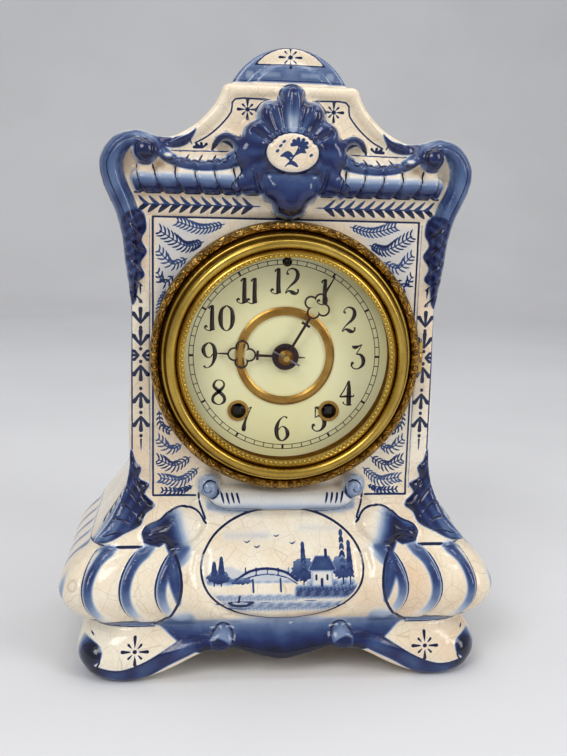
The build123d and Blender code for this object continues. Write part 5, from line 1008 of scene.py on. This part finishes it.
def make_case():
    """Glazed case: finer faces where it is decorated, carved lines, and the painting per point."""
    points, quads = case_shape()
    mesh = bpy.data.meshes.new("case_raw")
    mesh.from_pydata([tuple(p) for p in points.tolist()], [], quads[:, ::-1].tolist())
    shape = bmesh.new()
    shape.from_mesh(mesh)
    bmesh.ops.recalc_face_normals(shape, faces=shape.faces)
    for wanted in (decorated, on_panel):
        edges = {e for f in shape.faces if wanted(f) for e in f.edges}
        bmesh.ops.subdivide_edges(shape, edges=list(edges), cuts=1, use_grid_fill=True)
    shape.to_mesh(mesh)
    shape.free()
    place = read(mesh.vertices, "co")
    normal = read(mesh.vertices, "normal")
    x, y, z = place.T
    facing = np.clip((-normal[:, 1] - 0.15) / 0.35, 0, 1) * (y < -8)
    dome_face = (z > DOME_Z) & (normal[:, 1] < -0.1)
    facing = np.where(dome_face, 1.0, facing)
    lift = front.sample(front.fine, x, z) * facing
    place = place + normal * lift[:, None]
    place[:, 0] = np.clip(place[:, 0], -CASE_HALF_WIDTH, CASE_HALF_WIDTH)
    place[:, 1] = np.clip(place[:, 1], FRONT_Y, BACK_Y)
    place[:, 2] = np.clip(place[:, 2], 0.0, CASE_HEIGHT)
    sideways = np.clip((normal[:, 0] * np.sign(x) - 0.35) / 0.3, 0, 1) * (np.abs(x) > 60) * (1 - facing)
    outer = (y < 54.6)
    layers = []
    for name in ("wash", "line", "dark"):
        value = front.sample(getattr(front, name), x, z) * (facing if name != "dark" else 1)
        side_value = flank.sample(getattr(flank, name), y, z)
        if name == "dark":
            value = np.where(sideways > facing, side_value, value)
        else:
            value = value + side_value * sideways * outer
        layers.append(value)
    cap = (z > 293) & (y > -19.5) & (y < 22) & (facing < 0.5)
    layers[0] = np.where(cap, 0.42, layers[0])
    colours = np.ones((len(place), 4), np.float32)
    for k, value in enumerate(layers):
        colours[:, k] = value
    mesh.vertices.foreach_set("co", (place * MM).astype(np.float32).ravel())
    paint = mesh.attributes.new("paint", "FLOAT_COLOR", "POINT")
    paint.data.foreach_set("color", colours.ravel())
    mesh.update()
    finish_mesh(mesh, GLAZE)
    piece = link("case_glazed", mesh)
    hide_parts("ceramic_case")
    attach(piece, "case")


def ring_mesh(profile, count, change=None):
    """Closed ring from a closed profile of radius and depth; change(angle, k) shifts a profile point."""
    points = []
    faces = []
    n = len(profile)
    for step in range(count):
        angle = 2 * pi * step / count
        for k, (radius, depth) in enumerate(profile):
            dr, dy = change(angle, k) if change else (0.0, 0.0)
            r = radius + dr
            points.append((r * cos(angle) * MM, (depth + dy) * MM, (DIAL_Z + r * sin(angle)) * MM))
    for step in range(count):
        a = step * n
        b = ((step + 1) % count) * n
        for k in range(n):
            m = (k + 1) % n
            faces.append((a + k, b + k, b + m, a + m))
    return points, faces


def make_bezel():
    """Spun ring with two round mouldings and a beaded sight edge."""
    glass_back = PANEL_Y - 15.2
    glass_front = glass_back - 2.0
    profile = [(62.8, SEAT_Y), (62.8, -34.4), (62.3, -35.2), (61.7, -37.0)]
    profile += [(61.2 - 0.9 + 0.9 * cos(a), -38.6 - 1.5 * sin(a)) for a in np.linspace(0.2, 1.9, 8)]
    profile += [(59.4, -39.5), (58.9, -39.9)]
    for a in np.linspace(-8, 196, 22):
        profile.append((56.5 + 2.3 * cos(radians(a)), -43.2 - 2.7 * sin(radians(a))))
    profile += [(53.6, -43.6), (52.8, -44.4), (52.2, -45.0), (51.9, -45.1), (51.6, -44.8)]
    profile += [(51.2, -44.8), (50.4, -44.8), (50.0, -44.6), (50.0, glass_front - 0.2)]
    profile += [(53.5, glass_front - 0.2), (53.5, glass_back + 1.2), (55.6, glass_back + 1.2), (58.0, -38.2),
        (60.4, -34.0), (61.2, SEAT_Y)]
    points, faces = ring_mesh(profile, 256)
    new_object("bezel_moulding", points, faces, "bezel_door", BEZEL, "bezel_ring", sharp=50)
    beads = []
    bead_faces = []
    rings, sides = 4, 7
    for bead in range(BEADS):
        angle = 2 * pi * bead / BEADS
        centre = (BEAD_CIRCLE * cos(angle), -44.9, DIAL_Z + BEAD_CIRCLE * sin(angle))
        base = len(beads)
        for r in range(rings + 1):
            tilt = pi / 2 * r / rings
            for s in range(sides):
                turn = 2 * pi * s / sides
                beads.append((
                    (centre[0] + 0.95 * cos(tilt) * cos(turn)) * MM,
                    (centre[1] - 0.85 * sin(tilt)) * MM,
                    (centre[2] + 0.95 * cos(tilt) * sin(turn)) * MM,
                ))
        for r in range(rings):
            for s in range(sides):
                t = (s + 1) % sides
                a = base + r * sides
                b = a + sides
                bead_faces.append((a + s, a + t, b + t, b + s))
    new_object("bezel_beads", beads, bead_faces, "bezel_door", BEZEL)


def make_rim():
    """Cast rim: bosses with scrolls at eight places and a leafy vine between them."""
    middle = RIM_MIDDLE
    period = 2 * pi * middle / RIM_GROUPS
    count = 2400
    across = 17
    base = [(-2.0 + 4.0 * k / (across - 1)) for k in range(across)]

    def height(u, v):
        u = (u + period / 2) % period - period / 2
        crown = 1.7 * sqrt(max(0.0, 1 - (v / 2.05) ** 2))
        far = abs(u)
        lump = 1.5 * exp(-((u / 1.4) ** 2 + (v / 1.4) ** 2))
        for centre in (3.9, 8.0):
            reach = hypot(far - centre, v)
            lump = max(lump, 1.25 * exp(-(((reach - 1.15) / 0.5) ** 2)), 0.9 * exp(-((reach / 0.5) ** 2)))
        vine = 0.0
        if far > 9.0:
            wave = 0.95 * sin(2 * pi * (far - 9) / 9.2)
            vine = 1.15 * exp(-(((v - wave) / 0.55) ** 2))
            barb = cos(2 * pi * (far + 1.5 * abs(v - wave)) / 2.1)
            vine = max(vine, 0.75 * max(0.0, barb) * exp(-((v / 1.7) ** 4)))
            vine *= min(1.0, (far - 9.0) / 1.5)
        return crown + max(lump, vine) * 0.95

    profile = [(middle + v, -35.4) for v in base] + [(66.8, -31.0), (66.8, SEAT_Y), (62.85, SEAT_Y),
        (62.8, -31.0)]

    def change(angle, k):
        if k >= across:
            return 0.0, 0.0
        return 0.0, -min(height(angle * middle, base[k]), 2.6)

    points, faces = ring_mesh(profile, count, change)
    knuckle = []
    knuckle_faces = []
    start = len(points)
    sides = 16
    levels = (DIAL_Z - KNUCKLE_HALF, DIAL_Z + KNUCKLE_HALF)
    for z in levels:
        for s in range(sides):
            a = 2 * pi * s / sides
            knuckle.append(((HINGE_X + 1.6 * cos(a)) * MM, (HINGE_Y + 1.6 * sin(a)) * MM, z * MM))
            knuckle.append(((HINGE_X + 0.8 * cos(a)) * MM, (HINGE_Y + 0.8 * sin(a)) * MM, z * MM))
    for s in range(sides):
        t = (s + 1) % sides
        lo, hi = start + 2 * s, start + 2 * t
        up = 2 * sides
        knuckle_faces += [(lo, hi, hi + up, lo + up), (lo + 1, lo + 1 + up, hi + 1 + up, hi + 1)]
        knuckle_faces += [(lo, lo + 1, hi + 1, hi), (lo + up, hi + up, hi + 1 + up, lo + 1 + up)]
    start += len(knuckle)
    corners = [(x * MM, y * MM, z * MM) for x in (66.2, 68.0) for y in (-29.0, -27.8) for z in levels]
    box = [(0, 1, 3, 2), (4, 6, 7, 5), (0, 4, 5, 1), (2, 3, 7, 6), (0, 2, 6, 4), (1, 5, 7, 3)]
    knuckle_faces += [tuple(start + i for i in face) for face in box]
    new_object("bezel_cast_rim", points + knuckle + corners, faces + knuckle_faces, "bezel_door", RIM,
        "bezel_rope_rim")


# Numerals: brush strokes in a box 1 high, each point x, z and width
DIGITS = {
    "0": [[(0.3, 1.0, 0.03), (0.1, 0.84, 0.1), (0.04, 0.5, 0.15), (0.1, 0.16, 0.1), (0.3, 0.0, 0.03),
    (0.5, 0.16, 0.1), (0.56, 0.5, 0.15), (0.5, 0.84, 0.1), (0.3, 1.0, 0.03)]],
    "1": [
        [(0.26, 1.0, 0.1), (0.25, 0.7, 0.13), (0.25, 0.3, 0.14), (0.27, 0.02, 0.16)],
        [(0.10, 0.86, 0.07), (0.16, 0.95, 0.05), (0.28, 0.99, 0.05)],
        [(0.30, 0.05, 0.05), (0.16, 0.0, 0.04), (0.0, 0.04, 0.03), (-0.06, 0.12, 0.05), (0.0, 0.17, 0.08),
        (0.06, 0.13, 0.03)],
    ],
    "2": [
        [(0.12, 0.78, 0.08), (0.04, 0.8, 0.05), (0.08, 0.92, 0.03), (0.26, 1.0, 0.05), (0.46, 0.9, 0.1),
        (0.5, 0.7, 0.13), (0.4, 0.5, 0.1), (0.18, 0.3, 0.05), (0.02, 0.12, 0.03), (0.0, 0.02, 0.03)],
        [(0.0, 0.03, 0.04), (0.14, 0.12, 0.06), (0.3, 0.06, 0.13), (0.44, 0.02, 0.09), (0.54, 0.1, 0.05),
        (0.52, 0.2, 0.07)],
    ],
    "3": [
        [(0.02, 0.92, 0.05), (0.16, 0.88, 0.12), (0.34, 0.94, 0.05), (0.46, 1.0, 0.03)],
        [(0.46, 1.0, 0.03), (0.34, 0.8, 0.03), (0.22, 0.6, 0.04)],
        [(0.22, 0.6, 0.03), (0.4, 0.58, 0.08), (0.53, 0.42, 0.13), (0.52, 0.18, 0.11), (0.34, 0.02, 0.05),
        (0.14, 0.02, 0.04), (0.03, 0.13, 0.05), (0.06, 0.24, 0.09), (0.13, 0.22, 0.03)],
    ],
    "4": [
        [(0.36, 1.0, 0.04), (0.2, 0.66, 0.04), (0.0, 0.34, 0.05)],
        [(0.0, 0.34, 0.05), (0.3, 0.36, 0.08), (0.58, 0.36, 0.05), (0.6, 0.44, 0.03)],
        [(0.38, 1.0, 0.06), (0.39, 0.6, 0.14), (0.4, 0.1, 0.15), (0.42, 0.0, 0.1)],
        [(0.54, 0.02, 0.03), (0.38, 0.0, 0.05), (0.22, 0.03, 0.03), (0.14, 0.12, 0.06)],
    ],
    "5": [
        [(0.12, 1.0, 0.05), (0.3, 0.95, 0.12), (0.5, 1.0, 0.04)],
        [(0.12, 1.0, 0.05), (0.12, 0.75, 0.04), (0.12, 0.56, 0.03)],
        [(0.12, 0.56, 0.03), (0.3, 0.64, 0.06), (0.5, 0.5, 0.13), (0.53, 0.26, 0.14), (0.4, 0.06, 0.07),
        (0.18, 0.0, 0.04), (0.02, 0.12, 0.05), (0.05, 0.26, 0.09), (0.13, 0.22, 0.03)],
    ],
    "6": [
        [(0.5, 0.94, 0.07), (0.36, 1.0, 0.03), (0.16, 0.84, 0.07), (0.04, 0.5, 0.14), (0.1, 0.14, 0.11),
        (0.3, 0.0, 0.04), (0.5, 0.14, 0.1), (0.53, 0.34, 0.13), (0.42, 0.54, 0.07), (0.26, 0.58, 0.03),
        (0.12, 0.44, 0.04)],
    ],
    "7": [
        [(0.04, 0.86, 0.06), (0.08, 0.98, 0.04), (0.24, 0.92, 0.11), (0.42, 0.94, 0.04), (0.54, 1.0, 0.03)],
        [(0.54, 1.0, 0.03), (0.4, 0.7, 0.04), (0.26, 0.36, 0.09), (0.22, 0.1, 0.15), (0.26, 0.0, 0.06)],
    ],
    "8": [
        [(0.3, 0.54, 0.12), (0.08, 0.74, 0.1), (0.14, 0.94, 0.06), (0.3, 1.0, 0.03), (0.48, 0.92, 0.05),
        (0.5, 0.74, 0.07), (0.3, 0.54, 0.12), (0.06, 0.34, 0.09), (0.06, 0.12, 0.09), (0.3, 0.0, 0.03),
        (0.52, 0.12, 0.09), (0.52, 0.32, 0.11), (0.3, 0.54, 0.12)],
    ],
    "9": [
        [(0.06, 0.08, 0.08), (0.2, 0.0, 0.03), (0.42, 0.14, 0.07), (0.54, 0.5, 0.14), (0.48, 0.86, 0.11),
        (0.28, 1.0, 0.04), (0.08, 0.86, 0.1), (0.05, 0.66, 0.13), (0.16, 0.46, 0.07), (0.32, 0.42, 0.03),
        (0.46, 0.56, 0.04)],
    ],
}


def ribbon(points, depth, thick):
    """Flat printed stroke of changing width; points are x, z, width in millimetres."""
    line = smooth(points, 8 * len(points))
    path = line[:, :2]
    ahead = np.gradient(path, axis=0)
    ahead /= np.maximum(np.hypot(*ahead.T), 1e-9)[:, None]
    across = np.stack([-ahead[:, 1], ahead[:, 0]], 1)
    half = np.maximum(line[:, 2:], 0.12) / 2
    verts = []
    faces = []
    for left, right in zip(path + across * half, path - across * half):
        for y in (depth, depth - thick):
            verts.append((left[0] * MM, y * MM, (DIAL_Z + left[1]) * MM))
            verts.append((right[0] * MM, y * MM, (DIAL_Z + right[1]) * MM))
    for k in range(len(path) - 1):
        a = 4 * k
        b = a + 4
        faces += [(a + 2, a + 3, b + 3, b + 2), (a, b, b + 1, a + 1), (a, a + 2, b + 2, b),
            (a + 1, b + 1, b + 3, a + 3)]
    end = 4 * (len(path) - 1)
    faces += [(0, 1, 3, 2), (end, end + 2, end + 3, end + 1)]
    return verts, faces


def make_dial():
    """Numerals and minute track printed on the dial."""
    verts = []
    faces = []

    def put(points, thick=0.05):
        more, shape = ribbon(points, DIAL_FACE_Y, thick)
        start = len(verts)
        verts.extend(more)
        faces.extend(tuple(i + start for i in f) for f in shape)

    height = NUMERAL_HEIGHT
    for hour in range(1, 13):
        angle = radians(30 * hour)
        text = str(hour)
        advance = 0.52 if hour in (10, 12) else 0.40
        widths = [0.4 if c == "1" else 0.6 for c in text]
        span = (0.0 if len(text) == 1 else advance) + widths[-1]
        cx = NUMERAL_CIRCLE * sin(angle)
        cz = NUMERAL_CIRCLE * cos(angle)
        for index, c in enumerate(text):
            left = cx - span * height / 2 + index * advance * height
            for run in DIGITS[c]:
                put([(left + x * height * 0.92, cz + (z - 0.5) * height, 1.22 * w * height) for x, z,
                    w in run])
    for radius in (TRACK_OUTER, TRACK_INNER):
        put([(radius * cos(a), radius * sin(a), 0.36) for a in np.linspace(0, 2 * pi, 73)], 0.04)
    for minute in range(1, 60):
        a = radians(6 * minute)
        thick = 1.1 if minute % 5 == 0 else 0.42
        put([((45.6 + 0.8 * t) * sin(a), (45.6 + 0.8 * t) * cos(a), thick) for t in (0, 1, 2, 3)], 0.045)
    new_object("dial_print", verts, faces, "case", INK)


make_case()
make_bezel()
make_rim()
make_dial()
brass_nodes = (
    "rear_frame rear_door rear_latch dial_pan dial_sheet pillars pillar_nuts front_plate back_plate "
    "time_great_wheel time_second_wheel time_third_wheel escape_wheel hour_wheel minute_wheel "
    "strike_great_wheel strike_second_wheel strike_pin_wheel warning_wheel fly "
    "pendulum_bob rating_nut suspension_post bezel_hinge_leaf bezel_catch glass_retainer centre_arbor"
).split()
steel_nodes = (
    "case_bolts pan_screws rear_hinge_pin bezel_hinge_pin time_click strike_click "
    "time_mainspring strike_mainspring verge suspension_spring pendulum_rod minute_stud taper_pin "
    "hammer gong gong_screw"
).split()
iron_nodes = "gong_stand time_winding_arbor strike_winding_arbor regulator_arbor".split()
look = {name: MOVEMENT for name in brass_nodes}
look.update({name: STEEL for name in steel_nodes})
look.update({name: IRON for name in iron_nodes})
look.update({
    "hour_hand": HANDS, "minute_hand": HANDS, "dial_ring": ENAMEL, "dial_centre": ENAMEL,
    "dial_centre_ring": GILT, "winding_grommets": GILT, "hand_washer": GILT, "glass": GLASS,
})
for name, made in look.items():
    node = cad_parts[name]
    for slot_index in range(len(node.material_slots)):
        node.material_slots[slot_index].material = made


def backdrop():
    """Pale floor that curves up into a wall behind the clock."""
    made, tree, shader, place = material("studio")
    tone = ramp(tree, noise(tree, place, 3, 3), ((0.3, rgb(212, 212, 214)), (0.7, rgb(220, 220, 222))))
    tree.links.new(tone, shader.inputs["Base Color"])
    shader.inputs["Roughness"].default_value = 0.6
    points = []
    profile = [(-4.0, 0.0), (1.4, 0.0)]
    profile += [(1.4 + 0.9 * sin(a), 0.9 - 0.9 * cos(a)) for a in np.linspace(0, pi / 2, 16)]
    profile += [(2.3, 4.0)]
    for y, z in profile:
        for x in (-4.0, 4.0):
            points.append((x, y, z - 0.0003))
    faces = [(2 * k, 2 * k + 1, 2 * k + 3, 2 * k + 2) for k in range(len(profile) - 1)]
    mesh = bpy.data.meshes.new("studio_floor")
    mesh.from_pydata(points, [], faces)
    finish_mesh(mesh, made)
    floor = link("studio_floor", mesh)


def lamp(name, place, target, size, power):
    """Rectangular area lamp that faces the target."""
    data = bpy.data.lights.new(name, "AREA")
    data.shape = "RECTANGLE"
    data.size, data.size_y = size
    data.energy = power
    made = link(name, data)
    made.location = place
    made.rotation_euler = (Vector(target) - Vector(place)).to_track_quat("-Z", "Y").to_euler()


backdrop()
middle = (0, 0, 0.16)
lamp("key", (-0.9, -1.3, 1.5), middle, (0.9, 0.9), 18)
lamp("window", (1.1, -0.9, 0.9), middle, (0.5, 1.0), 9.5)
lamp("top", (0, 0.1, 1.7), middle, (1.6, 1.0), 11)
world = bpy.data.worlds.new("studio_world")
world.use_nodes = True
world.node_tree.nodes["Background"].inputs[0].default_value = (0.97, 0.98, 1.0, 1)
world.node_tree.nodes["Background"].inputs[1].default_value = 0.46
bpy.context.scene.world = world
bpy.context.scene.view_settings.view_transform = "Standard"

camera_data = bpy.data.cameras.new("camera")
IMAGE_HEIGHT = 756
FOCAL_PIXELS = 915
SENSOR = 36
camera_data.lens = FOCAL_PIXELS / IMAGE_HEIGHT * SENSOR
camera_data.sensor_width = SENSOR
camera_data.clip_start = 0.01
camera = link("camera", camera_data)
right = Vector((0.99488198, -0.09765424, 0.02595168))
down = Vector((0.00686469, -0.19091995, -0.98158161))
ahead = Vector((0.1008103, 0.97673601, -0.18927245))
turn = Matrix((right, -down, -ahead)).transposed().to_4x4()
camera.matrix_world = Matrix.Translation((-0.0468, -0.4784, 0.2379)) @ turn
bpy.context.scene.camera = camera
